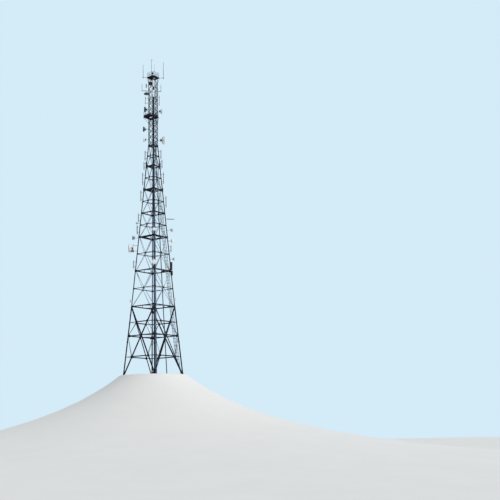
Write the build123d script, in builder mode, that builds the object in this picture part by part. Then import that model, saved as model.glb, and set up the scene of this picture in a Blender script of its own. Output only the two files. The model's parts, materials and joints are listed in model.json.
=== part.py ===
from build123d import *
import os
from math import atan2, cos, degrees, radians, sin, sqrt

# A free-standing four-legged lattice radio mast, as a model at one tenth of its real size.
# Millimetres. The origin is under the middle of the near leg's base plate, the sides of the
# square run along X and Y, and +Z is up.
os.makedirs("parts", exist_ok=True)

# Outline of the tower, between leg axes
base_side = 875.0
waist_side = 646.0
shaft_side = 140.0
waist_height = 1440.0
shaft_foot_height = 5025.0
shaft_top_height = 6600.0
tip_height = 7050.0
lower_splice_height = 700.0
shaft_panel_count = 12
clearance = 0.3

# Legs, flanges and feet
lower_leg_radius = 13.0
upper_leg_radius = 10.0
chord_radius = 6.5
flange_rim = 6.0
flange_thickness = 4.0
foot_side = 56.0
foot_thickness = 5.0
anchor_spacing = 42.0
anchor_radius = 2.2
stub_foot_height = 24.0

# Angle bars, gusset plates and lattice of the faces
plate_thickness = 2.0
main_width = 26.0
main_web = 11.0
belt_width = 21.0
redundant_width = 9.0
upper_width = 9.0
ring_width = 11.0
deck_ring_width = 20.0
node_plate = 38.0
leg_plate = 50.0
belt_low_height = 390.0
belt_high_height = 1115.0
foot_joint_height = 372.0
corner_brace_width = 7.0
shaft_bar_width = 7.6
shaft_bar_thickness = 1.6

# Decks
deck_thickness = 3.0
hatch_depth = 132.0
hatch_half_width = 47.0
walk_depth = 200.0
walkway_width = 90.0
feeder_gap_depth = 92.0
shaft_platform_height = 5675.0
shaft_platform_left = 155.0
shaft_platform_right = 90.0
top_platform_half = 99.0
top_hatch = 62.0
rail_height = 110.0
rail_width = 4.0
rail_posts = 3
strut_drop = 140.0
strut_width = 5.0

# Climbing ladder and its safety cage beside the right leg
ladder_offset = 45.0
ladder_width = 40.0
ladder_rail = 3.0
ladder_depth = 5.0
ladder_foot_height = 6.0
cage_radius = 37.0
cage_centre_share = 0.85
cage_foot_height = 250.0
cage_top_drop = 25.0
strap_width = 4.0
strap_thickness = 1.5
hoop_height = 5.0

# Feeder ladder beside the near leg, with its cables, and the riser on the front right face
feeder_width = 38.0
feeder_rail = 3.0
feeder_depth = 5.0
feeder_inset = 22.0
feeder_offset_foot = 68.0
feeder_offset_waist = 60.0
feeder_offset_shaft = 33.0
feeder_tie_pitch = 800.0
cable_count = 3
cable_radius = 3.0
cable_pitch = 9.0
riser_share = -0.16
riser_width = 22.0
riser_depth = 7.0
riser_top_height = 3700.0

# Antennas
pipe_radius = 3.0
arm_width = 5.0
panel_width = 30.0
panel_depth = 12.0
panel_reach = 46.0
whip_radius = 3.0
yagi_radius = 11.0
dish_sides = 12
outrigger_tall = 160.0

centre = base_side / 2
diagonal = 1 / sqrt(2)
signs = {"near": (-1, -1), "right": (1, -1), "far": (1, 1), "left": (-1, 1)}
corners = ["near", "right", "far", "left"]
faces = ["front_right", "back_right", "back_left", "front_left"]
tower_axis = Axis((centre, centre, 0), (0, 0, 1))
upper_flange_radius = upper_leg_radius + flange_rim
chord_flange_radius = chord_radius + flange_rim


def save(part, name):
    """Labels a finished piece and writes it."""
    part.label = name
    export_step(part, f"parts/{name}.step")


def half_side(height):
    """Half the distance between neighbouring leg axes at a height."""
    if height <= waist_height:
        return (base_side + (waist_side - base_side) * height / waist_height) / 2
    if height <= shaft_foot_height:
        rise = (height - waist_height) / (shaft_foot_height - waist_height)
        return (waist_side + (shaft_side - waist_side) * rise) / 2
    return shaft_side / 2


def placed(height):
    """A height as photographed, moved with its section where the sections' heights change."""
    drawn = (0.0, 1440.0, 5025.0, 6600.0, 7050.0)
    built = (0.0, waist_height, shaft_foot_height, shaft_top_height, tip_height)
    for low, high, low_built, high_built in zip(drawn, drawn[1:], built, built[1:]):
        if height <= high:
            break
    return low_built + (height - low) / (high - low) * (high_built - low_built)


platform_heights = [placed(h) for h in (1440, 2220, 2960, 3490, 4015, 4545, 5025)]
splice_heights = [platform_heights[n] for n in (1, 2, 4)]
hoop_heights = [placed(h) for h in (255, 700, 1250, 1900, 2650, 3400, 4150, 4900)]


def outward(corner):
    """The level direction from the tower's axis to a corner."""
    return Vector(signs[corner][0] * diagonal, signs[corner][1] * diagonal, 0)


def leg_point(corner, height, out=0.0):
    """A point on a leg's axis, moved outwards from the tower's axis."""
    half = half_side(height)
    axis_point = Vector(centre + signs[corner][0] * half, centre + signs[corner][1] * half, height)
    return axis_point + outward(corner) * out


def ring_of_flats(radius, sides):
    """A regular outline in the open sketch, with a flat side facing along X."""
    RegularPolygon(radius, sides, rotation=180 / sides)


def rod(start, end, radius, sides=6):
    """A tube as a bar of few sides between two points."""
    run = end - start
    with BuildPart() as bar:
        with BuildSketch(Plane(origin=start, z_dir=run)):
            ring_of_flats(radius, sides)
        extrude(amount=run.length)
    return bar.part


def level_tube(points, radius, sides=8):
    """A tube of few sides through points, cut level at each of them."""
    with BuildPart() as tube:
        for foot, head in zip(points, points[1:]):
            run = head - foot
            with BuildSketch(Plane(origin=foot)):
                ring_of_flats(radius, sides)
            extrude(amount=run.length, dir=run.normalized())
    return tube.part


def flat_bar(start, end, across, width, depth):
    """A square-cut bar between two points: width runs across, depth square to both."""
    run = end - start
    with BuildPart() as bar:
        with BuildSketch(Plane(origin=start, x_dir=across, z_dir=run)):
            Rectangle(width, depth)
        extrude(amount=run.length)
    return bar.part


def disc(corner, low, high, radius):
    """A level flange round a leg."""
    spot = leg_point(corner, (low + high) / 2)
    return level_tube([Vector(spot.X, spot.Y, low), Vector(spot.X, spot.Y, high)], radius)


def leg(corner, low, high, radius, flanges, grow=0.0):
    """A leg length with its flanges, or with grow the room that it needs."""
    more = grow / cos(radians(22.5))
    with BuildPart() as piece:
        add(level_tube([leg_point(corner, low), leg_point(corner, high)], radius + more))
        for flange_low, flange_high in flanges:
            add(disc(corner, flange_low - grow, flange_high + grow, radius + flange_rim + more))
    return piece.part


lower_flanges = [
    (lower_splice_height - flange_thickness, lower_splice_height + flange_thickness),
    (waist_height - flange_thickness, waist_height),
]
upper_flanges = [
    (waist_height, waist_height + flange_thickness),
    *[(h - flange_thickness, h + flange_thickness) for h in splice_heights],
    (shaft_foot_height - flange_thickness, shaft_foot_height),
]
chord_flanges = [(shaft_foot_height, shaft_foot_height + flange_thickness)]


def lower_leg(corner):
    """A lower leg length with its base plate and anchor holes."""
    spot = leg_point(corner, 0)
    with BuildPart() as piece:
        add(leg(corner, foot_thickness / 2, waist_height, lower_leg_radius, lower_flanges))
        with BuildSketch(Plane.XY):
            with Locations((spot.X, spot.Y)):
                Rectangle(foot_side, foot_side)
                with GridLocations(anchor_spacing, anchor_spacing, 2, 2):
                    Circle(anchor_radius, mode=Mode.SUBTRACT)
        extrude(amount=foot_thickness)
    return piece.part


for corner in corners:
    save(lower_leg(corner), f"lower_leg_{corner}")
    save(
        leg(corner, waist_height, shaft_foot_height, upper_leg_radius, upper_flanges),
        f"upper_leg_{corner}",
    )


# Four chord tubes of the shaft
with BuildPart() as shaft_chords:
    for corner in corners:
        add(leg(corner, shaft_foot_height, shaft_top_height, chord_radius, chord_flanges))
save(shaft_chords.part, "shaft_chords")


lower_section = (foot_thickness / 2, waist_height, lower_leg_radius, lower_flanges)
upper_section = (waist_height, shaft_foot_height, upper_leg_radius, upper_flanges)
chord_section = (shaft_foot_height, shaft_top_height, chord_radius, chord_flanges)


def leg_room(section, around=("near", "right")):
    """The room that legs take in a face, or round one corner."""
    with BuildPart() as room:
        for corner in around:
            add(leg(corner, *section, clearance))
    return room.part


def room_at(corner, height):
    """The room of the leg length that a corner has at a height."""
    if height < waist_height:
        section = lower_section
    elif height < shaft_foot_height:
        section = upper_section
    else:
        section = chord_section
    return leg_room(section, (corner,))


def face_plane(low, high):
    """The front right face's plane between two heights, and the lean of the face."""
    lean = atan2(half_side(low) - half_side(high), high - low)
    plane = Plane(
        origin=(centre, centre - half_side(low), low),
        x_dir=(1, 0, 0),
        z_dir=(0, -cos(lean), sin(lean)),
    )
    return plane, lean


def face_bar(start, end, width, shift=0.0, cutback=0.0):
    """A bar's outline in the open sketch, shifted sideways and cut back at both ends."""
    run = Vector(*end) - Vector(*start)
    side = Vector(-run.Y, run.X).normalized() * shift
    middle = (Vector(*start) + Vector(*end)) / 2 + side
    with Locations(Location((middle.X, middle.Y, 0), degrees(atan2(run.Y, run.X)))):
        Rectangle(run.length - 2 * cutback, width)


def face_lattice(low, high, bars, plates, room):
    """One face's bars and gusset plates, fused, with room for its legs.

    Bars are (start, end, width, web) and plates (spot, width, height, turn). A spot is the
    share of the half side and the height. A web of 0 leaves a bar flat.
    """
    plane, lean = face_plane(low, high)

    def spot(share, height):
        return share * half_side(height), (height - low) / cos(lean)

    with BuildPart() as lattice:
        with BuildSketch(plane.offset(-plate_thickness / 2)):
            for start, end, width, web in bars:
                face_bar(spot(*start), spot(*end), width)
            for place, width, height, turn in plates:
                with Locations(Location((*spot(*place), 0), turn)):
                    Rectangle(width, height)
        extrude(amount=plate_thickness)
        for start, end, width, web in bars:
            if web > 0:
                run = Vector(*spot(*end)) - Vector(*spot(*start))
                cutback = (web + 2 * plate_thickness) * run.length / abs(run.X)
                with BuildSketch(plane.offset(-plate_thickness / 2)):
                    shift = (plate_thickness - width) / 2
                    face_bar(spot(*start), spot(*end), plate_thickness, shift, cutback)
                extrude(amount=-web)
        add(room, mode=Mode.SUBTRACT)
    return lattice.part


def turned(part, quarter):
    """A copy of a front right piece for the face that lies some quarter turns on."""
    return part.rotate(tower_axis, 90 * quarter)


def beside_leg(side, height, width):
    """The share of the half side where a plate of some width ends on a leg's axis."""
    return side * (1 - width / 2 / half_side(height))


# Lower faces: two long diagonals, three belts and redundants
def long_diagonal(height):
    """The share of the half side where the diagonal from the near foot is at a height."""
    foot, head = -half_side(0), half_side(waist_height)
    return (foot + (head - foot) * height / waist_height) / half_side(height)


crossing_height = waist_height * base_side / (base_side + waist_side)
low_share = long_diagonal(belt_low_height)
high_share = long_diagonal(belt_high_height)
lower_bars = []
lower_plates = [((0, crossing_height), node_plate * 1.3, node_plate * 1.3, 45)]
for side in (-1, 1):
    lower_bars += [
        ((side, 0), (-side, waist_height), main_width, main_web),
        ((side, belt_low_height), (-side * low_share, belt_low_height), redundant_width, 0),
        ((side, belt_high_height), (side * high_share, belt_high_height), redundant_width, 0),
        ((side, crossing_height), (-side * low_share, belt_low_height), redundant_width, 0),
        ((side, crossing_height), (side * high_share, belt_high_height), redundant_width, 0),
    ]
    lower_plates += [
        ((-side * low_share, belt_low_height), node_plate, node_plate, 0),
        ((side * high_share, belt_high_height), node_plate, node_plate, 0),
        ((beside_leg(side, crossing_height, leg_plate), crossing_height), leg_plate, leg_plate, 0),
    ]
lower_bars += [
    ((low_share, belt_low_height), (-low_share, belt_low_height), belt_width, 0),
    ((-1, crossing_height), (1, crossing_height), belt_width, 0),
    ((-high_share, belt_high_height), (high_share, belt_high_height), belt_width, 0),
]
lower_face = face_lattice(
    0,
    waist_height,
    lower_bars,
    lower_plates,
    leg_room(lower_section),
)
with BuildPart() as lower_bracing:
    add(lower_face)
    split(bisect_by=Plane.XY.offset(foot_joint_height), keep=Keep.TOP)
    split(bisect_by=Plane.XY.offset(waist_height - flange_thickness), keep=Keep.BOTTOM)
with BuildPart() as foot_bars:
    add(lower_face)
    split(bisect_by=Plane.XY.offset(foot_joint_height - clearance), keep=Keep.BOTTOM)
    split(bisect_by=Plane.XY.offset(stub_foot_height), keep=Keep.TOP)
with BuildPart() as foot_diagonals:
    for quarter in range(4):
        add(turned(foot_bars.part, quarter))
save(foot_diagonals.part, "foot_diagonals")
for quarter, face in enumerate(faces):
    save(turned(lower_bracing.part, quarter), f"lower_bracing_{face}")

# Upper faces: in each panel four half diagonals meet on a ring at mid height
upper_bars = []
first_ring = waist_height + flange_thickness + deck_ring_width / 2 + clearance
last_ring = shaft_foot_height - flange_thickness - deck_ring_width / 2 - clearance
panel_heights = [first_ring, *platform_heights[1:-1], last_ring]
for foot, head in zip(panel_heights, panel_heights[1:]):
    middle = (foot + head) / 2
    for side in (-1, 1):
        upper_bars += [
            ((beside_leg(side, end, 2 * upper_leg_radius + 2 * plate_thickness), end), (0, middle), upper_width, 0)
            for end in (foot, head)
        ]
    upper_bars.append(((-1, middle), (1, middle), ring_width, 0))
for height in panel_heights:
    upper_bars.append(((-1, height), (1, height), deck_ring_width, 0))
upper_face = face_lattice(
    waist_height,
    shaft_foot_height,
    upper_bars,
    [],
    leg_room(upper_section),
)
with BuildPart() as upper_bracing:
    add(upper_face)
    split(bisect_by=Plane.XY.offset(waist_height + clearance), keep=Keep.TOP)
    split(bisect_by=Plane.XY.offset(shaft_foot_height - clearance), keep=Keep.BOTTOM)
for quarter, face in enumerate(faces):
    save(turned(upper_bracing.part, quarter), f"upper_bracing_{face}")

# Shaft faces: a zigzag of bars, with a level bar at every fourth panel
panel_height = (shaft_top_height - shaft_foot_height) / shaft_panel_count
shaft_node = shaft_side / 2 - chord_radius - plate_thickness
shaft_levels = range(0, shaft_panel_count, 4)
with BuildPart() as shaft_bracing:
    with BuildSketch(face_plane(shaft_foot_height, shaft_top_height)[0].offset(-shaft_bar_thickness / 2)):
        for panel in range(shaft_panel_count):
            side = shaft_node if panel % 2 else -shaft_node
            face_bar((side, panel * panel_height), (-side, (panel + 1) * panel_height), shaft_bar_width)
        for panel in shaft_levels:
            level = panel * panel_height if panel else chord_flange_radius
            face_bar((-shaft_side / 2, level), (shaft_side / 2, level), shaft_bar_width)
        level = shaft_top_height - shaft_foot_height - shaft_bar_width / 2
        face_bar((-shaft_side / 2, level), (shaft_side / 2, level), shaft_bar_width)
    extrude(amount=shaft_bar_thickness)
    split(bisect_by=Plane.XY.offset(shaft_foot_height + clearance), keep=Keep.TOP)
    split(bisect_by=Plane.XY.offset(shaft_top_height), keep=Keep.BOTTOM)
    add(leg_room(chord_section), mode=Mode.SUBTRACT)
for quarter, face in enumerate(faces):
    save(turned(shaft_bracing.part, quarter), f"shaft_bracing_{face}")

# Level braces that cut the corners between neighbouring faces: at two belts, and higher up
# under the decks and at the mid rings, where they pass clear of the ladder's cage
brace_gap = (plate_thickness / 2 + clearance) / diagonal
plan_gap = (plate_thickness / 2 + 1.5 * clearance) / diagonal
cage_room = ladder_offset + cage_radius * (1 + cage_centre_share) + 3 * strap_thickness
plan_levels = [
    *[height - clearance - corner_brace_width / 2 for height in panel_heights[:-1]],
    *[(foot + head) / 2 for foot, head in zip(panel_heights, panel_heights[1:])],
]
plan_levels = [h for h in plan_levels if half_side(h) * diagonal - plate_thickness > cage_room]
with BuildPart() as corner_braces:
    for height, share in ((belt_low_height, low_share), (belt_high_height, high_share)):
        half = half_side(height)
        reach = abs(share) * half
        start = Vector(centre + reach, centre - half, height)
        end = Vector(centre + half, centre - reach, height)
        trim = (end - start).normalized() * brace_gap
        with BuildPart(mode=Mode.PRIVATE) as brace:
            add(flat_bar(start + trim, end - trim, (0, 0, 1), corner_brace_width, plate_thickness * 2))
            add(lower_bracing.part, mode=Mode.SUBTRACT)
            add(turned(lower_bracing.part, 1), mode=Mode.SUBTRACT)
        for quarter in range(4):
            add(turned(brace.part.solids().sort_by(SortBy.VOLUME)[-1], quarter))
    for height in plan_levels:
        half = half_side(height)
        start, end = Vector(centre, centre - half, height), Vector(centre + half, centre, height)
        trim = (end - start).normalized() * (plan_gap + plate_thickness)
        brace = flat_bar(start + trim, end - trim, (0, 0, 1), corner_brace_width, plate_thickness * 2)
        for quarter in range(4):
            add(turned(brace, quarter))
save(corner_braces.part, "corner_braces")


# Decks inside the legs, each of one or two plates that leave the ladder's and feeders' corners open
def deck(height, plates, open_half=0.0):
    """A level deck round an open middle. Plates are (corner, from, to), inwards from the corner."""
    inset = plate_thickness / 2 + clearance * 4
    half = half_side(height) - inset
    with BuildPart() as decks:
        for corner, begin, finish in plates:
            turn = 45 if corner in ("near", "far") else -45
            middle = leg_point(corner, height) - outward(corner) * ((begin + finish) / 2)
            with BuildSketch(Plane.XY.offset(height)):
                with Locations((centre, centre)):
                    Rectangle(2 * half, 2 * half)
                with Locations(Location((middle.X, middle.Y, 0), turn)):
                    Rectangle(finish - begin, 4 * half, mode=Mode.INTERSECT)
                if open_half > 0:
                    with Locations((centre, centre)):
                        Rectangle(2 * open_half, 2 * open_half, mode=Mode.SUBTRACT)
                for other, cut, opening in (
                    ("right", hatch_depth, 2 * hatch_half_width),
                    ("near", feeder_gap_depth, 4 * half),
                    ("left", upper_flange_radius + clearance * 6, 4 * half),
                    ("far", upper_flange_radius + clearance * 6, 4 * half),
                ):
                    away = leg_point(other, height)
                    other_turn = 45 if other in ("near", "far") else -45
                    with Locations(Location((away.X, away.Y, 0), other_turn)):
                        Rectangle(2 * cut, opening, mode=Mode.SUBTRACT)
            extrude(amount=deck_thickness)
    return decks.part


def across(height):
    """The tower's corner to corner distance at a height."""
    return 2 * half_side(height) / diagonal


deck_plates = [
    [("right", 0, hatch_depth + walk_depth * 0.1)],
    [("right", 0, hatch_depth + walk_depth * 0.25)],
    [("right", 0, across(platform_heights[2]))],
    [("right", 0, hatch_depth + walk_depth * 0.1)],
    [("right", 0, across(platform_heights[4]))],
    [("left", 0, across(platform_heights[5]) * 0.6)],
    [("left", 0, across(platform_heights[6]) * 0.5)],
]
deck_openings = [0, 0, half_side(platform_heights[2]) - walkway_width, 0, 0, 0, 0]
deck_levels = [panel_heights[0], *platform_heights[1:-1], panel_heights[-1]]
for number, (level, plates, open_half) in enumerate(zip(deck_levels, deck_plates, deck_openings), 1):
    save(deck(level, plates, open_half), f"platform_{number}")


def strip_deck(height, low, high, hole_low, hole_high):
    """Four plates round an opening, from corner points in plan."""
    gap = clearance
    plates = [
        (low[0], hole_low[0], low[1], high[1]),
        (hole_high[0], high[0], low[1], high[1]),
        (hole_low[0] + gap, hole_high[0] - gap, low[1], hole_low[1]),
        (hole_low[0] + gap, hole_high[0] - gap, hole_high[1], high[1]),
    ]
    with BuildPart() as decks:
        for x_low, x_high, y_low, y_high in plates:
            with BuildSketch(Plane.XY.offset(height)):
                with Locations(((x_low + x_high) / 2, (y_low + y_high) / 2)):
                    Rectangle(x_high - x_low, y_high - y_low)
            extrude(amount=deck_thickness)
    return decks.part


def railing(height, low, high):
    """Four straight railings that stand on a deck's edges."""
    with BuildPart() as rails:
        middle = Vector((low[0] + high[0]) / 2, (low[1] + high[1]) / 2, height)
        for turn, length, reach in (
            (0, high[0] - low[0], (high[1] - low[1]) / 2),
            (90, high[1] - low[1], (high[0] - low[0]) / 2),
            (180, high[0] - low[0], (high[1] - low[1]) / 2),
            (270, high[1] - low[1], (high[0] - low[0]) / 2),
        ):
            facing = Vector(0, -1, 0).rotate(Axis.Z, turn)
            along = Vector(1, 0, 0).rotate(Axis.Z, turn)
            span = length - 4 * rail_width
            plane = Plane(origin=middle + facing * (reach - rail_width), x_dir=along, z_dir=facing)
            with BuildSketch(plane):
                with Locations((0, rail_height - rail_width / 2)):
                    Rectangle(span, rail_width)
                for post in range(rail_posts):
                    place = (post / (rail_posts - 1) - 0.5) * (span - rail_width)
                    with Locations((place, rail_height / 2)):
                        Rectangle(rail_width, rail_height)
            extrude(amount=rail_width * 0.75)
    return rails.part


# Platform round the shaft, wider on the left, with its railing and struts
shaft_half = shaft_side / 2 + chord_radius + clearance
shaft_deck_level = placed(shaft_platform_height)
platform_low = (centre - shaft_platform_left, centre - shaft_platform_right)
platform_high = (centre + shaft_platform_right, centre + shaft_platform_left)
save(
    strip_deck(
        shaft_deck_level,
        platform_low,
        platform_high,
        (centre - shaft_half, centre - shaft_half),
        (centre + shaft_half, centre + shaft_half),
    ),
    "shaft_platform",
)
railing_foot = shaft_deck_level + deck_thickness
save(railing(railing_foot, platform_low, platform_high), "shaft_platform_railing")


def strut(corner, height, drop, target):
    """A sloping bar from a shaft chord up to a point under a deck."""
    foot = leg_point(corner, height - drop)
    run = (target - foot).normalized()
    across_bar = run.cross(Vector(0, 0, 1))
    with BuildPart() as bar:
        add(flat_bar(foot, target, across_bar, strut_width, strut_width))
        split(bisect_by=Plane.XY.offset(height - clearance), keep=Keep.BOTTOM)
        add(leg_room(chord_section, (corner,)), mode=Mode.SUBTRACT)
    return bar.part


with BuildPart() as shaft_platform_struts:
    for corner, x, y in (
        ("near", platform_low[0], platform_low[1]),
        ("right", platform_high[0], platform_low[1]),
        ("far", platform_high[0], platform_high[1]),
        ("left", platform_low[0], platform_high[1]),
    ):
        target = Vector(x, y, shaft_deck_level + strut_width)
        add(strut(corner, shaft_deck_level, strut_drop, target))
save(shaft_platform_struts.part, "shaft_platform_struts")

# Top platform over the shaft
hatch_spot = leg_point("right", shaft_top_height, -ladder_offset - cage_radius * 0.7)
top_low = (centre - top_platform_half, centre - top_platform_half)
top_high = (centre + top_platform_half, centre + top_platform_half)
save(
    strip_deck(
        shaft_top_height + clearance,
        top_low,
        top_high,
        (hatch_spot.X - top_hatch / 2, hatch_spot.Y - top_hatch / 2),
        (hatch_spot.X + top_hatch / 2, hatch_spot.Y + top_hatch / 2),
    ),
    "top_platform",
)
top_deck_height = shaft_top_height + clearance + deck_thickness
save(railing(top_deck_height, top_low, top_high), "top_platform_railing")
with BuildPart() as top_platform_struts:
    for corner in corners:
        target = leg_point(corner, shaft_top_height) + outward(corner) * (
            (top_platform_half - shaft_side / 2) / diagonal
        )
        add(strut(corner, shaft_top_height + clearance, strut_drop, target + Vector(0, 0, strut_width)))
save(top_platform_struts.part, "top_platform_struts")


# Climbing ladder: two rails with a bracket to the leg at each ring
def ladder_run(low, high, brackets):
    """A straight ladder length parallel to the right leg."""
    foot, head = (leg_point("right", h, -ladder_offset) for h in (low, high))
    rung_way = Vector(diagonal, diagonal, 0)
    run = head - foot
    plane = Plane(origin=foot, x_dir=rung_way, z_dir=rung_way.cross(run))
    rate = run.length / (high - low)
    with BuildPart() as ladder:
        with BuildSketch(plane.offset(-ladder_depth / 2)):
            for side in (-1, 1):
                with Locations((side * ladder_width / 2, run.length / 2)):
                    Rectangle(ladder_rail, run.length)
            for height in brackets:
                with Locations((0, (height - low) * rate)):
                    Rectangle(ladder_width, ladder_rail)
        extrude(amount=ladder_depth)
        for height in brackets:
            tie = leg_point("right", height, -ladder_offset)
            add(flat_bar(tie, leg_point("right", height), rung_way, ladder_depth, ladder_rail))
        add(room_at("right", (low + high) / 2), mode=Mode.SUBTRACT)
    return ladder.part


lower_brackets = [h for h in hoop_heights if h < waist_height]
upper_brackets = [h for h in hoop_heights if h > waist_height]
shaft_brackets = [
    shaft_foot_height + panel_height * number for number in (1, 4, 8, 11)
]
with BuildPart() as climbing_ladder:
    add(ladder_run(ladder_foot_height, waist_height - clearance, lower_brackets))
    add(ladder_run(waist_height + clearance, shaft_foot_height - clearance, upper_brackets))
    add(ladder_run(shaft_foot_height + clearance, shaft_top_height, shaft_brackets))
save(climbing_ladder.part, "climbing_ladder")


# Safety cage: upright straps inside hoops
def cage_point(height, turn, radius):
    """A point round the cage, turned from the way to the tower's axis."""
    middle = leg_point("right", height, -ladder_offset - cage_radius * cage_centre_share)
    return middle + (outward("right") * -radius).rotate(Axis.Z, turn)


strap_turns = (-90, -45, 0, 45, 90)
with BuildPart() as cage_straps:
    for turn in strap_turns:
        facing = (outward("right") * -1).rotate(Axis.Z, turn)
        sideways = facing.rotate(Axis.Z, 90)
        for low, high in (
            (cage_foot_height, waist_height - clearance),
            (waist_height + clearance, shaft_foot_height - cage_top_drop),
        ):
            add(
                flat_bar(
                    cage_point(low, turn, cage_radius),
                    cage_point(high, turn, cage_radius),
                    sideways,
                    strap_width,
                    strap_thickness,
                )
            )
save(cage_straps.part, "cage_straps")

hoop_inner = cage_radius + strap_thickness / 2 + 2 * clearance
hoop_outer = hoop_inner + strap_thickness
to_corner = 1 / cos(radians(22.5))
hoop_back = cage_radius * cage_centre_share
hoop_toe = ladder_width / 2 + ladder_rail / 2 + clearance
with BuildPart() as cage_hoops:
    for height in hoop_heights:
        middle = cage_point(height + hoop_height / 2, 0, 0) - Vector(0, 0, hoop_height / 2)
        with BuildSketch(Plane(origin=middle, x_dir=outward("right") * -1, z_dir=(0, 0, 1))):
            ring_of_flats(hoop_outer * to_corner, 8)
            with Locations((-hoop_back, 0)):
                Rectangle(hoop_back, 2 * hoop_outer, align=(Align.MIN, Align.CENTER))
            RegularPolygon(hoop_inner * to_corner, 8, rotation=22.5, mode=Mode.SUBTRACT)
            with Locations((-hoop_outer, 0)):
                Rectangle(hoop_outer, 2 * hoop_inner, align=(Align.MIN, Align.CENTER), mode=Mode.SUBTRACT)
                Rectangle(hoop_outer - hoop_back, 2 * hoop_outer, align=(Align.MIN, Align.CENTER),
                          mode=Mode.SUBTRACT)
            for side in (-1, 1):
                with Locations((-hoop_back, side * (hoop_toe + hoop_outer) / 2)):
                    Rectangle(strap_thickness, hoop_outer - hoop_toe)
        extrude(amount=hoop_height)
save(cage_hoops.part, "cage_hoops")


# Feeder ladder beside the near leg, with brackets to it, and its cables
def feeder_offset(height):
    """How far the feeder ladder's middle stands from the near leg along the face."""
    if height <= waist_height:
        rise = height / waist_height
        return feeder_offset_foot + (feeder_offset_waist - feeder_offset_foot) * rise
    rise = min(1, (height - waist_height) / (shaft_foot_height - waist_height))
    return feeder_offset_waist + (feeder_offset_shaft - feeder_offset_waist) * rise


def feeder_run(low, high, cleats):
    """A straight feeder ladder length behind the front right face.

    Each cleat reaches the back of the face bar at its height.
    """
    plane, lean = face_plane(low, high)
    foot, head = low + clearance, high - clearance
    ties = max(2, round((head - foot) / feeder_tie_pitch))

    def spot(height, shift=0.0):
        return feeder_offset(height) - half_side(height) + shift, (height - low) / cos(lean)

    with BuildPart() as ladder:
        with BuildSketch(plane.offset(-feeder_inset - feeder_depth / 2)):
            for side in (-feeder_width / 2, feeder_width / 2):
                face_bar(spot(low, side), spot(high, side), feeder_rail)
            for tie in range(ties):
                height = foot + (tie + 0.5) * (head - foot) / ties
                face_bar(spot(height, -feeder_width / 2), spot(height, feeder_width / 2), feeder_rail)
        extrude(amount=feeder_depth)
        with BuildSketch(plane.offset(-feeder_inset)):
            for height in cleats:
                with Locations(spot(height)):
                    Rectangle(feeder_width, feeder_rail)
        extrude(amount=feeder_inset - plate_thickness / 2 - clearance)
        split(bisect_by=Plane.XY.offset(foot), keep=Keep.TOP)
        split(bisect_by=Plane.XY.offset(head), keep=Keep.BOTTOM)
    return ladder.part


shaft_cleats = [shaft_foot_height + panel_height * number for number in shaft_levels[1:]]
with BuildPart() as feeder_ladder:
    add(feeder_run(foot_thickness, waist_height, [belt_low_height, belt_high_height]))
    add(feeder_run(waist_height, shaft_foot_height, panel_heights[1:-1:2]))
    add(feeder_run(shaft_foot_height, shaft_top_height, shaft_cleats))
save(feeder_ladder.part, "feeder_ladder")

cable_inset = feeder_inset + feeder_depth / 2 + cable_radius + clearance * 3
with BuildPart() as feeder_cables:
    for cable in range(cable_count):
        shift = (cable - (cable_count - 1) / 2) * cable_pitch
        stops = [0, waist_height, shaft_foot_height, shaft_top_height - feeder_width]
        points = [
            Vector(
                centre - half_side(height) + feeder_offset(height) + shift,
                centre - half_side(height) + cable_inset,
                height,
            )
            for height in stops
        ]
        add(level_tube(points, cable_radius, 6))
save(feeder_cables.part, "feeder_cables")

# Second, narrow cable ladder on the outside of the front right face
riser_out = plate_thickness / 2 + riser_depth / 2 + clearance
riser_points = [
    Vector(
        centre + riser_share * half_side(height),
        centre - half_side(height) - riser_out,
        height,
    )
    for height in (0, waist_height, riser_top_height)
]
with BuildPart() as riser:
    for foot, head in zip(riser_points, riser_points[1:]):
        run = head - foot
        with BuildSketch(Plane(origin=foot)):
            Rectangle(riser_width, riser_depth)
        extrude(amount=run.length, dir=run.normalized())
save(riser.part, "riser")


# Antennas and what carries them
def way(corner, turn=0.0):
    """A level direction, turned from a corner's outward way."""
    return outward(corner).rotate(Axis.Z, turn)


def leg_radius(height):
    """The radius of the leg or chord at a height."""
    if height <= waist_height:
        return lower_leg_radius
    return upper_leg_radius if height <= shaft_foot_height else chord_radius


def stand_off(corner, height, reach, length, turn=0.0):
    """An upright pipe held off a leg by two arms, or by one where it is short."""
    toward = way(corner, turn)
    middle = leg_point(corner, height) + toward * reach
    up = Vector(0, 0, length / 2)
    with BuildPart() as mount:
        add(rod(middle - up, middle + up, pipe_radius))
        for share in (-0.6, 0.6) if length > 120 else (0,):
            level = height + share * length / 2
            target = Vector(middle.X, middle.Y, level)
            add(flat_bar(leg_point(corner, level), target, (0, 0, 1), arm_width, arm_width))
        add(room_at(corner, height), mode=Mode.SUBTRACT)
    return mount.part


def panel(corner, height, length, reach=panel_reach, turn=0.0):
    """A sector panel with two brackets that reach its pipe."""
    toward = way(corner, turn)
    pipe = leg_point(corner, height) + toward * reach
    back = pipe_radius + clearance
    plane = Plane(
        origin=pipe + toward * (back * 2) - Vector(0, 0, length / 2),
        x_dir=toward.rotate(Axis.Z, 90),
        z_dir=(0, 0, 1),
    )
    with BuildPart() as box:
        with BuildSketch(plane):
            with BuildLine():
                Polyline(
                    (-panel_width / 2, 0),
                    (-panel_width / 2, -panel_depth * 0.6),
                    (-panel_width / 3, -panel_depth),
                    (panel_width / 3, -panel_depth),
                    (panel_width / 2, -panel_depth * 0.6),
                    (panel_width / 2, 0),
                    close=True,
                )
            make_face()
        extrude(amount=length)
        start, end = pipe + toward * back, pipe + toward * (back * 2)
        add(flat_bar(start, end, (0, 0, 1), length * 0.6, pipe_radius * 2))
    return box.part


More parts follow.
